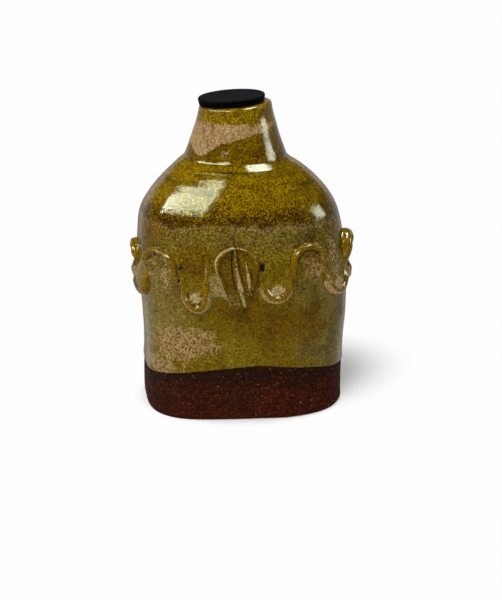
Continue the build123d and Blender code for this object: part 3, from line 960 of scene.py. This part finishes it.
class FLASK_OT_shell(Operator):
    """Model the glazed body and the bare foot"""
    bl_idname = "flask.shell"
    bl_label = "Body and foot"

    steps = 360
    overlap, step = 4 * MM, 2 * MM
    lip_height = 5 * MM
    dome_start, top_start, top_margin = 124 * MM, 143.5 * MM, 0.4 * MM
    ledge_round = 0.5 * MM
    wave_fade = (1 * MM, 22 * MM)
    pinhole_depth = 1.6 * MM

    def execute(self, context):
        scene = context.scene
        form = FlaskForm(scene)
        self.make_foot(form, form.shell, bare_clay("bare_stoneware", scene.flask_clay))
        self.make_body(form, form.shell, glaze("ochre_glaze", scene.flask_glaze, False))
        return {"FINISHED"}

    def make_foot(self, form, shell, material):
        """Tray of bare clay, thrown round at an even size and then paddled to the shell's outline."""
        bm = bmesh.new()
        radius, inner = TURNED_RADIUS, TURNED_RADIUS - shell.wall
        top = shell.glaze_line + shell.glaze_wave + self.overlap
        lathe(bm, (
            (0.0, 0.0), (radius / 2, 0.0), (radius, 0.0), (radius, top), (inner, top), (inner, shell.floor),
            (0.0, shell.floor),
        ), self.steps, False)
        rounded(bm, loops_at(bm, radius, 0.0), shell.foot_round, 5)
        subdivide(bm, edges_between(bm, shell.foot_round * 0.9, top, 10 * MM), 26)
        for v in bm.verts:
            out, angle = round_axis(v.co)
            height = v.co.z
            if out < inner - TINY or height < TINY:
                place = form.point(angle, height)
                v.co = Vector((place.x * out / radius, place.y * out / radius, height))
                continue
            place = form.point(angle, height, out - radius)
            v.co = place
            if out > inner + TINY:
                v.co += form.outward(angle, height) * form.marks(place) * smooth_step(0.0, 6 * MM, height)
        make_piece(bm, "bare_foot", material, "flask", ("base_slab", "foot_wall"))

    def make_body(self, form, shell, material):
        """Wall and shoulder under their glaze, whose lower edge rolls over the bare foot."""
        bm = bmesh.new()
        radius, inner = TURNED_RADIUS, TURNED_RADIUS - shell.wall
        edge, lip, coat = shell.glaze_line, shell.glaze_lip, shell.glaze_coat
        under = edge + shell.glaze_wave + self.step
        throat = radius - (shell.ledge - shell.throat) / 2
        dome_top = shell.height - shell.dome_wall
        lathe(bm, (
            (radius - 0.1 * MM, edge + 0.1 * MM), (radius + 0.45 * lip, edge),
            (radius + 0.86 * lip, edge + 0.25 * MM), (radius + lip, edge + 0.65 * MM),
            (radius + 0.9 * lip, edge + 1.3 * MM), (radius + 0.6 * lip, edge + 2.6 * MM),
            (radius + coat, edge + self.lip_height),
            (radius + coat, self.dome_start), (radius + coat, self.top_start), (radius + coat, shell.height),
            (throat, shell.height), (throat, dome_top), (inner, dome_top), (inner, under),
            (radius - 0.1 * MM, under),
        ), self.steps, True)
        rounded(bm, loops_at(bm, radius + coat, shell.height), self.ledge_round, 3)
        for low, high, cuts in (
            (edge + self.lip_height, self.dome_start, 94), (self.dome_start, self.top_start, 42),
            (self.top_start, shell.height - self.top_margin, 14),
        ):
            subdivide(bm, edges_outside(edges_between(bm, low, high), radius), cuts)
        within = edges_between(bm, under, dome_top, 20 * MM)
        hollow = [e for e in within if abs(math.hypot(*e.verts[0].co.xy) - inner) < TINY]
        subdivide(bm, hollow, 24)
        layers = new_layers(bm, ("tan", "brown", "pale", "pit"))
        squeeze = (form.top - form.belly) / (dome_top - form.belly)
        for v in bm.verts:
            out, angle = round_axis(v.co)
            height, stand_off = v.co.z, out - radius
            if stand_off < -0.9 * shell.wall and height < shell.height - TINY:
                nominal = height if height <= form.belly else form.belly + (height - form.belly) * squeeze
                v.co = form.point(angle, nominal, stand_off)
                v.co.z = height
                continue
            on_outside = stand_off > -1 * MM
            if on_outside or height < under - TINY:
                fade = 1.0 - smooth_step(*self.wave_fade, height - edge)
                height += (form.glaze_edge(angle) - edge) * fade
            place = form.point(angle, height, stand_off)
            v.co = place
            share = form.share_at(angle)
            hole = pinhole_share(form, share, height)
            if on_outside:
                v.co += form.outward(angle, height) * (form.marks(place) - self.pinhole_depth * hole)
            # Pinholes are marked here so that the glaze paints them near-black as shade.
            paint(v, layers, pit=hole, **{name: patch_share(form, name, share, height) for name in PATCHES})
        make_piece(bm, "glazed_body", material, "flask", ("body_wall", "shoulder_dome"))


class FLASK_OT_neck(Operator):
    """Model the flared neck with its slanting rim"""
    bl_idname = "flask.neck"
    bl_label = "Neck"

    steps = 240
    sunk = 0.9 * MM
    throat_step = (1.6 * MM, 3 * MM)
    skirt = 1.8 * MM
    skirt_shares = (0.13, 0.157)
    bulge, dent = 0.22 * MM, 0.10 * MM

    def execute(self, context):
        scene = context.scene
        form = FlaskForm(scene)
        neck, shell = form.neck, form.shell
        bm = bmesh.new()
        foot, top = shell.height - self.sunk, neck.height
        outer, bore = neck.rim / 2, neck.mouth / 2
        low = top - neck.mouth_depth
        out, down = self.throat_step
        lathe(bm, (
            (outer, foot), (outer, top), (bore, top), (bore, low), (bore + out, low - down),
            (shell.throat / 2, foot),
        ), self.steps, True)
        rounded(bm, loops_at(bm, outer, top), neck.outer_round, 6)
        rounded(bm, loops_at(bm, bore, top), neck.inner_round, 4)
        tall = edges_between(bm, foot, top, 10 * MM)
        outside = edges_outside(tall, outer - TINY)
        inside = [e for e in tall if e not in outside]
        subdivide(bm, outside, 44)
        subdivide(bm, [e for e in inside if e.is_valid], 6)
        layers = new_layers(bm, ("tan",))
        for v in bm.verts:
            angle = round_axis(v.co)[1]
            self.shape(form, v, outer, bore)
            paint(v, layers, tan=self.tan_share(v.co.z / MM, math.degrees(angle)))
        make_piece(bm, "neck", glaze("ochre_glaze", scene.flask_glaze, False), "flask", ("neck_collar",))
        return {"FINISHED"}

    def shape(self, form, v, outer, bore):
        """Flares the outside, and turns the top and the bore into the slant of the rim."""
        height, neck = v.co.z, form.neck
        out, angle = round_axis(v.co)
        up = (height - form.top) / (neck.height - form.top)
        on_outside = smooth_step(bore + 2 * MM, outer - 2 * MM, out)
        end, length = self.skirt_shares
        skirt = self.skirt * min(max((end - up) / length, 0.0), 1.0) ** 2
        radius = out + (form.neck_radius(height) - outer + skirt) * on_outside
        x, y = math.sin(angle) * radius, -math.cos(angle) * radius
        free = Vector((form.lean + x, y, height + x * math.tan(form.slant) * max(up, 0.0) ** 1.3))
        if on_outside > 0.5:
            bulge = self.bulge * noise.noise(free * 60) + self.dent * noise.noise(free * 160)
            free += direction(angle, 0.0) * bulge * smooth_step(0.0, 0.1, up)
        mouth = form.mouth_point(math.sin(angle) * out, -math.cos(angle) * out, height - neck.height)
        v.co = mouth.lerp(free, max(on_outside, 1.0 - smooth_step(0.2, 0.4, up)))

    def tan_share(self, height, degrees):
        foot = smooth_through(NECK_TAN_FOOT, degrees)[0]
        inside = min((height - foot) / 1.6, (NECK_TAN_TOP - height) / 4.5, 1.0)
        return 0.5 + 0.5 * max(inside, -1.0)


class Bend:
    """Sizes of one arch or cup of the strip, whose rows go up one leg, round the tip and down the other."""

    leg_rows = 36
    tip_rows = 60
    rows = 2 * leg_rows + tip_rows
    arch_tip_share, cup_tip_share = 0.92, 1.2
    fade_length = 6.5 * MM

    def __init__(self, form, strip, sizes):
        self.name, left, right, share, stands, self.fullness, lean, left_past, right_past = sizes
        self.is_arch = self.name.startswith("arch")
        self.up = 1.0 if self.is_arch else -1.0
        self.proud = (strip.arch_proud if self.is_arch else strip.cup_proud) * stands
        self.reach = (strip.rise if self.is_arch else strip.drop) * share
        self.half, self.middle = (right - left) / 2 * form.girth, (left + right) / 2 * form.girth
        tip_share = self.arch_tip_share if self.is_arch else self.cup_tip_share
        self.tip = min(self.half * tip_share, self.reach - 1 * MM)
        self.lean, self.left_past, self.right_past = lean * MM, left_past * MM, right_past * MM
        self.middle_past = (self.left_past + self.right_past) / 2
        self.stoutness = max(1.0, 2.2 * stands - 1.3)

    def edge_and_spine(self, row):
        """Places on the outer edge and on the middle line, and how far that leg runs past the band."""
        leg = self.reach - self.tip
        if self.leg_rows < row < self.leg_rows + self.tip_rows:
            turn = math.pi * (row - self.leg_rows) / self.tip_rows
            edge = Vector((-self.half * math.cos(turn), leg + self.tip * math.sin(turn)))
            return edge, Vector((0.0, leg)), self.left_past if edge.x < 0 else self.right_past
        on_left = row <= self.leg_rows
        share = (row if on_left else self.rows - row) / self.leg_rows
        side, past = (-self.half, self.left_past) if on_left else (self.half, self.right_past)
        spine = Vector((0.0, -self.middle_past + (leg + self.middle_past) * share))
        return Vector((side, -past + (leg + past) * share)), spine, past

    def fade(self, y, past):
        """How much of a leg is left at a place towards the tip: nothing at its foot."""
        return smooth_step(-past, -past + self.fade_length, y)

    def crest(self, y, past):
        """How far the lip's top stands off the wall."""
        return self.proud * (0.26 + 0.74 * smooth_step(-0.1, 0.60, y / self.reach)) * self.fade(y, past)

    def roll_width(self, y):
        """Stoutness of the lip, as a share of the usual."""
        width = 1.30 if self.is_arch else 1.10 + 0.85 * smooth_step(0.1, 0.8, y / self.reach)
        return width * self.stoutness

    def hollow(self, level, inward):
        """How far the inside stands off the wall, and over which distance the lip turns down to it."""
        if self.is_arch:
            floor = self.fullness * self.proud * smooth_step(0.05, 0.85, level)
            floor *= 1.0 - 0.65 * smooth_step(3 * MM, 9 * MM, inward)
            return floor - 0.30 * MM * (1.0 - smooth_step(0.05, 0.5, level)), 2.6 * MM
        floor = self.fullness * self.proud * smooth_step(-0.35, 0.65, level)
        return floor - 0.30 * MM * (1.0 - smooth_step(-0.5, 0.1, level)), 3.4 * MM


class FLASK_OT_strip(Operator):
    """Model the applied strip, one piece for each arch and cup"""
    bl_idname = "flask.strip"
    bl_label = "Applied strip"

    lip_stations = (-0.75, -0.6, -0.4, -0.2, 0.0, 0.04, 0.12, 0.26, 0.45, 0.7, 1.0, 1.4)
    floor_columns = 20
    full = 0.9
    pool_across, pool_along, pool_share = 5.6 * MM, 4.2 * MM, 0.52
    wobble_across, wobble_up = 0.55 * MM, 0.45 * MM
    pinhole_depth = 2.4 * MM

    def execute(self, context):
        scene = context.scene
        form = FlaskForm(scene)
        material = glaze("relief_glaze", scene.flask_glaze, True)
        for sizes in BENDS:
            self.make_bend(form, Bend(form, scene.flask_strip, sizes), material)
        return {"FINISHED"}

    def make_bend(self, form, bend, material):
        columns = len(self.lip_stations) - 1 + self.floor_columns
        bm, layers = clay_slab(bend.rows, columns)
        inner_side = [face for face in bm.faces if all(v.co.y > 1 - TINY for v in face.verts)]
        bmesh.ops.delete(bm, geom=inner_side, context="FACES")
        for v in bm.verts:
            self.shape(form, bend, v, round(v.co.x * bend.rows), round(v.co.y * columns), layers)
        bmesh.ops.remove_doubles(bm, verts=bm.verts[:], dist=2e-6)
        face_outwards(bm)
        make_piece(bm, bend.name, material, "flask", (bend.name,), CLAY_SHARP)

    def shape(self, form, bend, v, row, column, layers):
        """Moves a vertex of the slab to its place between a bend's outer edge and its middle line."""
        front = v.co.z > 0.5
        edge, spine, past = bend.edge_and_spine(row)
        depth = (spine - edge).length
        width = bend.roll_width(edge.y)
        roll = self.lip_stations[-1] * MM * width
        if column < len(self.lip_stations):
            station = self.lip_stations[column]
            inward = station * MM * (width if station > 0 else 1.0)
        else:
            share_in = (column - len(self.lip_stations) + 1) / self.floor_columns
            inward = roll + (depth - roll) * share_in**1.1
        place = edge + (spine - edge) * (inward / depth)
        level = place.y / bend.reach
        run = bend.middle + place.x + bend.lean * max(level, 0.0) ** 2
        height = form.band + bend.up * place.y
        swell = 1.0 + 0.20 * ripple(run, height, 95, 8.3)
        across = self.wobble_across * ripple(run, height, 70, 1.7)
        up = self.wobble_up * ripple(run, height, 80, 4.4)
        run += across
        height += up
        hole = pinhole_share(form, run / form.girth, height)
        if not front:
            v.co = form.on_wall(run, height, -BACK_DEPTH - self.pinhole_depth * hole)
            return
        crest = bend.crest(edge.y, past) * swell
        most = crest + (bend.crest(spine.y, bend.middle_past) * swell - crest) * max(inward, 0.0) / depth
        floor, turn = bend.hollow(level, inward)
        stand = rolled_lip(inward, crest, min(floor, max(most, floor * 0.4)), roll, turn)
        if column == 0:
            stand = -0.8 * MM
        if row in (0, bend.rows):
            stand = -END_DEPTH
        v.co = form.on_wall(run, height, stand - self.pinhole_depth * hole)
        self.colour(form, bend, v, layers, edge, place, inward, roll, run, height, past)
        # Pinholes are marked here so that the glaze paints them near-black as shade.
        paint(v, layers, pit=hole)

    def colour(self, form, bend, v, layers, edge, place, inward, roll, run, height, past):
        """Writes where the glaze is thin and pale, partly as painted reflection, pooled, dark with rust and
        painted shade, or patched.
        """
        fade = bend.fade(edge.y, past)
        at_tip = smooth_step(0.15, 0.6, edge.y / bend.reach)
        near_lip = 1.0 - smooth_step(1.1 * roll, 2.4 * roll, inward)
        # Dark line at the lip's outer foot and inside the lip: pooled glaze and painted shade.
        inner_line = 0.65 * hump(inward, roll + 2.4 * MM, 1.1 * MM) * at_tip
        paint(
            v, layers, crest=fade * max(near_lip, 0.0 if bend.is_arch else 0.8 * at_tip),
            groove=fade * (1.1 * hump(inward, -0.7 * MM, 0.65 * MM) + inner_line),
        )
        if bend.is_arch:
            # Thin pale line on the arch's outer edge, partly a painted glint.
            paint(v, layers, lip=0.40 * hump(inward, 0.2 * MM, 0.6 * MM) * fade)
        else:
            pale, pool = 0.35, 0.0
            if bend.fullness < self.full:
                along = place.y - self.pool_share * bend.reach
                around = math.hypot(place.x / self.pool_across, along / self.pool_along)
                pale, pool = 1.15, min(0.94 - 0.5 * around, 0.78)
            # Pale of thin glaze on the cup's lip, strongest at its lower tip, where it is also a painted
            # reflection of the floor.
            lip = pale * hump(inward, 0.15 * roll, 0.62 * roll) * (0.3 + 0.7 * at_tip) * fade
            paint(v, layers, lip=lip, pool=pool)
        names = PATCHES if inward > 1.5 * MM else ("brown", "pale")
        paint(v, layers, **{name: patch_share(form, name, run / form.girth, height) for name in names})


class FLASK_OT_leaf(Operator):
    """Model the leaf: two lobes, a midrib, a side rib, and the web of clay beside it"""
    bl_idname = "flask.leaf"
    bl_label = "Leaf"

    lobe_grid, web_grid, rib_grid = (90, 44), (40, 24), (70, 14)
    lip_width, lip_turn, crease_dip = 1.4 * MM, 3.0 * MM, 0.75 * MM
    web_length, web_hollow = 24 * MM, 3.4 * MM

    def execute(self, context):
        scene = context.scene
        form = FlaskForm(scene)
        sizes = scene.flask_leaf
        material = glaze("relief_glaze", scene.flask_glaze, True)
        middle = LEAF_MIDDLE * form.girth
        # The left lobe's edge is paler than the right's: thin glaze and a painted reflection of the softbox
        # on the left.
        left = self.lobe(form, sizes, middle, LEFT_LOBE_CREASE, LEFT_LOBE_EDGE, 1.15, 0.54)
        self.add_web(left, form, sizes, middle)
        right = self.lobe(form, sizes, middle, RIGHT_LOBE_CREASE, RIGHT_LOBE_EDGE, 0.40, 0.50)
        midrib = self.rib(form, middle, MIDRIB_LINE, sizes.midrib_width, sizes.midrib_proud)
        side_rib = self.rib(form, middle, SIDE_RIB_LINE, sizes.side_rib_width, sizes.side_rib_proud)
        made = {"lobe_left": left, "lobe_right": right, "midrib": midrib, "side_rib": side_rib}
        for name, bm in made.items():
            make_piece(bm, "leaf_" + name, material, "flask", ("leaf_" + name,), CLAY_SHARP)
        return {"FINISHED"}

    def lobe(self, form, sizes, middle, crease, edge, pale_lip, pale_foot):
        """Lobe between its crease and its rolled outer edge, thin and pale at the lip and the foot, the lip's
        pale partly a painted reflection, with painted shade in the crease and outside the edge.
        """
        bm, layers = clay_slab(*self.lobe_grid)
        for v in bm.verts:
            down, share, front = v.co.x, v.co.y, v.co.z > 0.5
            inner = Vector(smooth_through(crease, down)) * MM
            outer = Vector(smooth_through(edge, down)) * MM
            width = max((outer - inner).length, 1 * MM)
            from_edge = width * (1.0 - share) ** 1.5 - self.crease_dip * smooth_step(0.80, 1.0, share)
            place = outer + (inner - outer) * (from_edge / width)
            run, height = middle + place.x, form.band + place.y
            foot = 1.0 - smooth_step(0.66, 1.0, down)
            crest = sizes.lip_proud * (0.70 + 0.30 * smooth_step(0.0, 0.3, down)) * (0.12 + 0.88 * foot)
            crest *= 1.0 + 0.16 * ripple(run, height, 95, 2.2)
            floor = sizes.hollow_proud * (0.7 + 0.5 * share) * (0.15 + 0.85 * foot)
            stand = rolled_lip(from_edge, crest, floor, self.lip_width, self.lip_turn)
            stand *= 0.30 + 0.70 * smooth_step(0.0, 0.18, share)
            if min(share, down) < TINY or max(share, down) > 1 - TINY:
                stand = -0.5 * MM
            v.co = form.on_wall(run, height, stand if front else -BACK_DEPTH)
            if not front:
                continue
            # Pale at the lip, partly a painted reflection, and pale at the foot.
            lip = pale_lip * hump(from_edge, 0.45 * MM, 0.70 * MM)
            lip = max(lip, pale_foot * smooth_step(0.45, 0.95, down))
            near_lip = 1.0 - smooth_step(1.5 * MM, 4.5 * MM, from_edge)
            paint(
                v, layers, lip=lip, crest=near_lip * (1.0 - smooth_step(0.3, 0.6, down)),
                # Dark line outside the lobe's edge: pooled glaze and painted shade.
                groove=0.8 * hump(from_edge, -0.6 * MM, 0.4 * MM),
                # Crease painted near-black as shade.
                pit=0.8 * (1.0 - smooth_step(0.02, 0.10, share)) * foot, brown=0.75,
            )
        face_outwards(bm)
        return bm

    def add_web(self, bm, form, sizes, middle):
        """Web of clay and glaze between the leaf and the cup beside it, with a hollow lower edge."""
        web, layers = clay_slab(*self.web_grid)
        for v in web.verts:
            down, share, front = v.co.x, v.co.y, v.co.z > 0.5
            left, right = Vector(smooth_through(WEB_LEFT, down)), Vector(smooth_through(WEB_RIGHT, down))
            place = left.lerp(right, share) * MM
            place.y += self.web_hollow * math.sin(math.pi * share) * down**2
            run, height = middle + place.x, form.band + place.y
            body = sizes.web_proud * smooth_step(0.0, 0.45, down) * (1.0 - 0.35 * math.sin(math.pi * share))
            body *= 1.0 + 0.2 * ripple(run, height, 110, 3.1)
            from_end = (1.0 - down) * self.web_length
            stand = body * math.sqrt(min(from_end / (1.3 * MM), 1.0)) - 0.05 * MM
            if down < TINY or down > 1 - TINY:
                stand = -END_DEPTH
            if share < TINY or share > 1 - TINY:
                stand = min(stand, -0.1 * MM)
            v.co = form.on_wall(run, height, stand if front else -BACK_DEPTH)
            if front:
                paint(v, layers, web=smooth_step(0.15, 0.5, down), brown=0.3)
        face_outwards(web)
        mesh = bpy.data.meshes.new("web")
        web.to_mesh(mesh)
        web.free()
        bm.from_mesh(mesh)
        bpy.data.meshes.remove(mesh)

    def rib(self, form, middle, line, width, proud):
        """Rounded rib along a line, thin at its top and flat at its foot."""
        bm, layers = clay_slab(*self.rib_grid)
        for v in bm.verts:
            down, share, front = v.co.x, v.co.y * 2 - 1, v.co.z > 0.5
            place = Vector(smooth_through(line, down)) * MM
            taper = math.sin(math.pi * down) ** 0.45 if 0.0 < down < 1.0 else 0.0
            spread = (0.40 + 0.60 * taper) * (0.62 + 0.38 * smooth_step(0.1, 0.7, down))
            across = math.sin(share * math.pi / 2) * width / 2 * spread
            run, height = middle + place.x + across, form.band + place.y
            round_over = math.sqrt(max(1.0 - share**2, 0.0))
            swell = 1.0 + 0.14 * ripple(run, height, 120, 6.1)
            top = proud * swell * (1.0 - 0.72 * smooth_step(0.45, 1.0, down))
            stand = top * (0.25 + 0.75 * round_over) * taper
            if abs(share) > 0.999 or taper < TINY:
                stand = -0.4 * MM
            v.co = form.on_wall(run, height, stand if front else -BACK_DEPTH)
            if front:
                paint(v, layers, lip=(0.52 + 0.30 * smooth_step(0.1, 0.7, down)) * round_over, brown=0.4)
        face_outwards(bm)
        return bm


class FLASK_OT_stopper(Operator):
    """Model the stopper's disc and finish its stem and cork"""
    bl_idname = "flask.stopper"
    bl_label = "Stopper"

    steps = 144
    foot_round = 0.5 * MM

    def execute(self, context):
        scene = context.scene
        form = FlaskForm(scene)
        sizes = scene.flask_stopper
        wood = black_wood("black_wood", scene.flask_stopper_colours)
        radius, foot, thick = sizes.diameter / 2, sizes.diameter / 2 - sizes.foot_inset, sizes.thickness
        bm = bmesh.new()
        lathe(bm, (
            (0.0, 0.0), (foot, 0.0), (radius, thick), (radius - 4 * MM, thick), (radius / 2, thick),
            (0.0, thick),
        ), self.steps, False)
        rounded(bm, loops_at(bm, radius, thick), sizes.top_round, 6)
        rounded(bm, loops_at(bm, foot, 0.0), self.foot_round, 3)
        layers = new_layers(bm, ("worn",))
        for v in bm.verts:
            out, angle = round_axis(v.co)
            # The top millimetre gets the lighter paint: rubbed stain and a painted sheen.
            paint(v, layers, worn=smooth_step(thick - 1 * MM, thick, v.co.z))
            cut = 1.0 + 0.006 * ripple(math.sin(angle), math.cos(angle), 1.4, 2.0)
            dish = 0.0
            if v.co.z > thick * 0.9:
                dish = sizes.dish * (1.0 - smooth_step(0.3, 0.95, out / radius))
            v.co = form.mouth_point(v.co.x * cut, v.co.y * cut, v.co.z - dish + sizes.seat_gap)
        make_piece(bm, "disc", wood, "stopper", ("stopper_disc",), math.radians(45))
        finishes = {"stopper_stem": wood, "stopper_cork": cork("cork", scene.flask_stopper_colours)}
        for node, material in finishes.items():
            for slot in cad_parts[node].material_slots:
                slot.material = material
        return {"FINISHED"}


class FLASK_OT_stage(Operator):
    """Set up the floor, the soft studio light and the camera"""
    bl_idname = "flask.stage"
    bl_label = "Studio"

    floor_radius, backdrop, backdrop_round = 9.0, 2.4, 1.2
    white = (0.985, 0.985, 0.985, 1.0)
    lamps_aim = 110 * MM

    def execute(self, context):
        scene = context.scene
        studio = scene.flask_studio
        self.make_floor(scene, studio)
        self.make_world(scene, studio)
        for lamp in LAMPS:
            self.make_lamp(scene, studio, *lamp)
        self.make_camera(scene, studio)
        scene.view_settings.view_transform = "Standard"
        return {"FINISHED"}

    def make_floor(self, scene, studio):
        """Round floor whose far edge curves up into a low backdrop."""
        bm = bmesh.new()
        bmesh.ops.create_circle(bm, cap_ends=True, radius=self.floor_radius, segments=96)
        rim = [edge for edge in bm.edges if edge.is_boundary]
        raise_copy(bm, bmesh.ops.extrude_edge_only(bm, edges=rim), self.backdrop)
        rounded(bm, rim, self.backdrop_round, 8)
        mesh = bpy.data.meshes.new("floor")
        bm.to_mesh(mesh)
        bm.free()
        mesh.materials.append(self.floor_paint(studio))
        floor = bpy.data.objects.new("floor", mesh)
        scene.collection.objects.link(floor)

    def floor_paint(self, studio):
        """Paint that the camera and gloss see as even white, apart from the flask's shade on it."""
        r = Recipe("floor_paint")
        paint = r.add("ShaderNodeBsdfDiffuse", Color=(*studio.floor, 1.0))
        glow = r.add("ShaderNodeEmission", Color=self.white, Strength=1.0)
        rays = r.add("ShaderNodeLightPath").outputs
        seen = r.most(rays["Is Camera Ray"], rays["Is Glossy Ray"], rays["Is Transmission Ray"])
        lit = r.sum(self.light_left(r, *CAST_SHADE), self.light_left(r, *CONTACT_SHADE), operation="MINIMUM")
        mix = r.add("ShaderNodeMixShader")
        for socket, value in zip(mix.inputs, (r.product(seen, lit), paint.outputs[0], glow.outputs[0])):
            r.feed(socket, value)
        r.tree.links.new(mix.outputs[0], r.output.inputs["Surface"])
        return r.material

    def light_left(self, r, x, y, radius_x, radius_y, turn, start, end, least):
        """Light that an oval shade on the floor leaves."""
        oval = r.add("ShaderNodeMapping", Vector=r.place)
        oval.vector_type = "TEXTURE"
        oval.inputs["Location"].default_value = (x, y, 0.0)
        oval.inputs["Rotation"].default_value = (0.0, 0.0, math.radians(turn))
        oval.inputs["Scale"].default_value = (radius_x, radius_y, 1.0)
        length = r.add("ShaderNodeVectorMath", Vector=oval.outputs["Vector"])
        length.operation = "LENGTH"
        return r.between(length.outputs["Value"], start, end, least, 1.0)

    def make_world(self, scene, studio):
        world = bpy.data.worlds.new("studio")
        world.use_nodes = True
        tree = world.node_tree
        tree.nodes.clear()
        output = tree.nodes.new("ShaderNodeOutputWorld")
        light = tree.nodes.new("ShaderNodeBackground")
        light.inputs["Color"].default_value = (*studio.world, 1.0)
        light.inputs["Strength"].default_value = 1.0
        tree.links.new(light.outputs[0], output.inputs["Surface"])
        scene.world = world

    def make_lamp(self, scene, studio, name, turn, lift, distance, across, up, roll, unseen):
        """Rectangular softbox that faces the flask."""
        lamp = bpy.data.lights.new(name, "AREA")
        lamp.shape = "RECTANGLE"
        lamp.size, lamp.size_y = across, up
        lamp.energy = getattr(studio, name)
        out = direction(math.radians(turn), math.radians(lift))
        holder = bpy.data.objects.new(name, lamp)
        holder.location = Vector((0, 0, self.lamps_aim)) + out * distance
        aim = out.to_track_quat("Z", "Y") @ Quaternion((0.0, 0.0, 1.0), math.radians(roll))
        holder.rotation_euler = aim.to_euler()
        setattr(holder, unseen, False)
        scene.collection.objects.link(holder)

    def make_camera(self, scene, studio):
        camera = bpy.data.cameras.new("camera")
        camera.sensor_width = 36.0
        camera.lens = studio.lens
        camera.clip_start = 0.01
        camera.clip_end = 100.0
        back = direction(studio.camera_turn, studio.camera_lift)
        right = Vector((math.cos(studio.camera_turn), math.sin(studio.camera_turn), 0.0))
        middle = Vector((0.0, 0.0, studio.camera_height))
        holder = bpy.data.objects.new("camera", camera)
        holder.location = middle + back * studio.camera_distance
        aim = middle + right * studio.aim_across - back.cross(right) * studio.aim_down
        holder.rotation_euler = (aim - holder.location).to_track_quat("-Z", "Y").to_euler()
        scene.collection.objects.link(holder)
        scene.camera = holder


class FLASK_PT_panel(Panel):
    """Pieces of the flask"""
    bl_idname = "FLASK_PT_panel"
    bl_label = "Pilgrim flask"
    bl_space_type = "VIEW_3D"
    bl_region_type = "UI"
    bl_category = "Flask"

    def draw(self, context):
        for operator in OPERATORS:
            self.layout.operator(operator.bl_idname, text=operator.bl_label)


OPERATORS = (FLASK_OT_shell, FLASK_OT_neck, FLASK_OT_strip, FLASK_OT_leaf, FLASK_OT_stopper, FLASK_OT_stage)
SETTINGS = (
    ("flask_shell", FlaskShellSizes),
    ("flask_neck", FlaskNeckSizes),
    ("flask_strip", FlaskStripSizes),
    ("flask_leaf", FlaskLeafSizes),
    ("flask_stopper", FlaskStopperSizes),
    ("flask_glaze", FlaskGlazeColours),
    ("flask_clay", FlaskClayColours),
    ("flask_stopper_colours", FlaskStopperColours),
    ("flask_studio", FlaskStudio),
)


def register():
    for name, group in SETTINGS:
        bpy.utils.register_class(group)
        setattr(bpy.types.Scene, name, PointerProperty(type=group))
    for operator in OPERATORS:
        bpy.utils.register_class(operator)
    bpy.utils.register_class(FLASK_PT_panel)


def unregister():
    bpy.utils.unregister_class(FLASK_PT_panel)
    for operator in reversed(OPERATORS):
        bpy.utils.unregister_class(operator)
    for name, group in reversed(SETTINGS):
        delattr(bpy.types.Scene, name)
        bpy.utils.unregister_class(group)


def main():
    register()
    bpy.ops.flask.shell()
    bpy.ops.flask.neck()
    bpy.ops.flask.strip()
    bpy.ops.flask.leaf()
    bpy.ops.flask.stopper()
    bpy.ops.flask.stage()


if __name__ == "__main__":
    main()
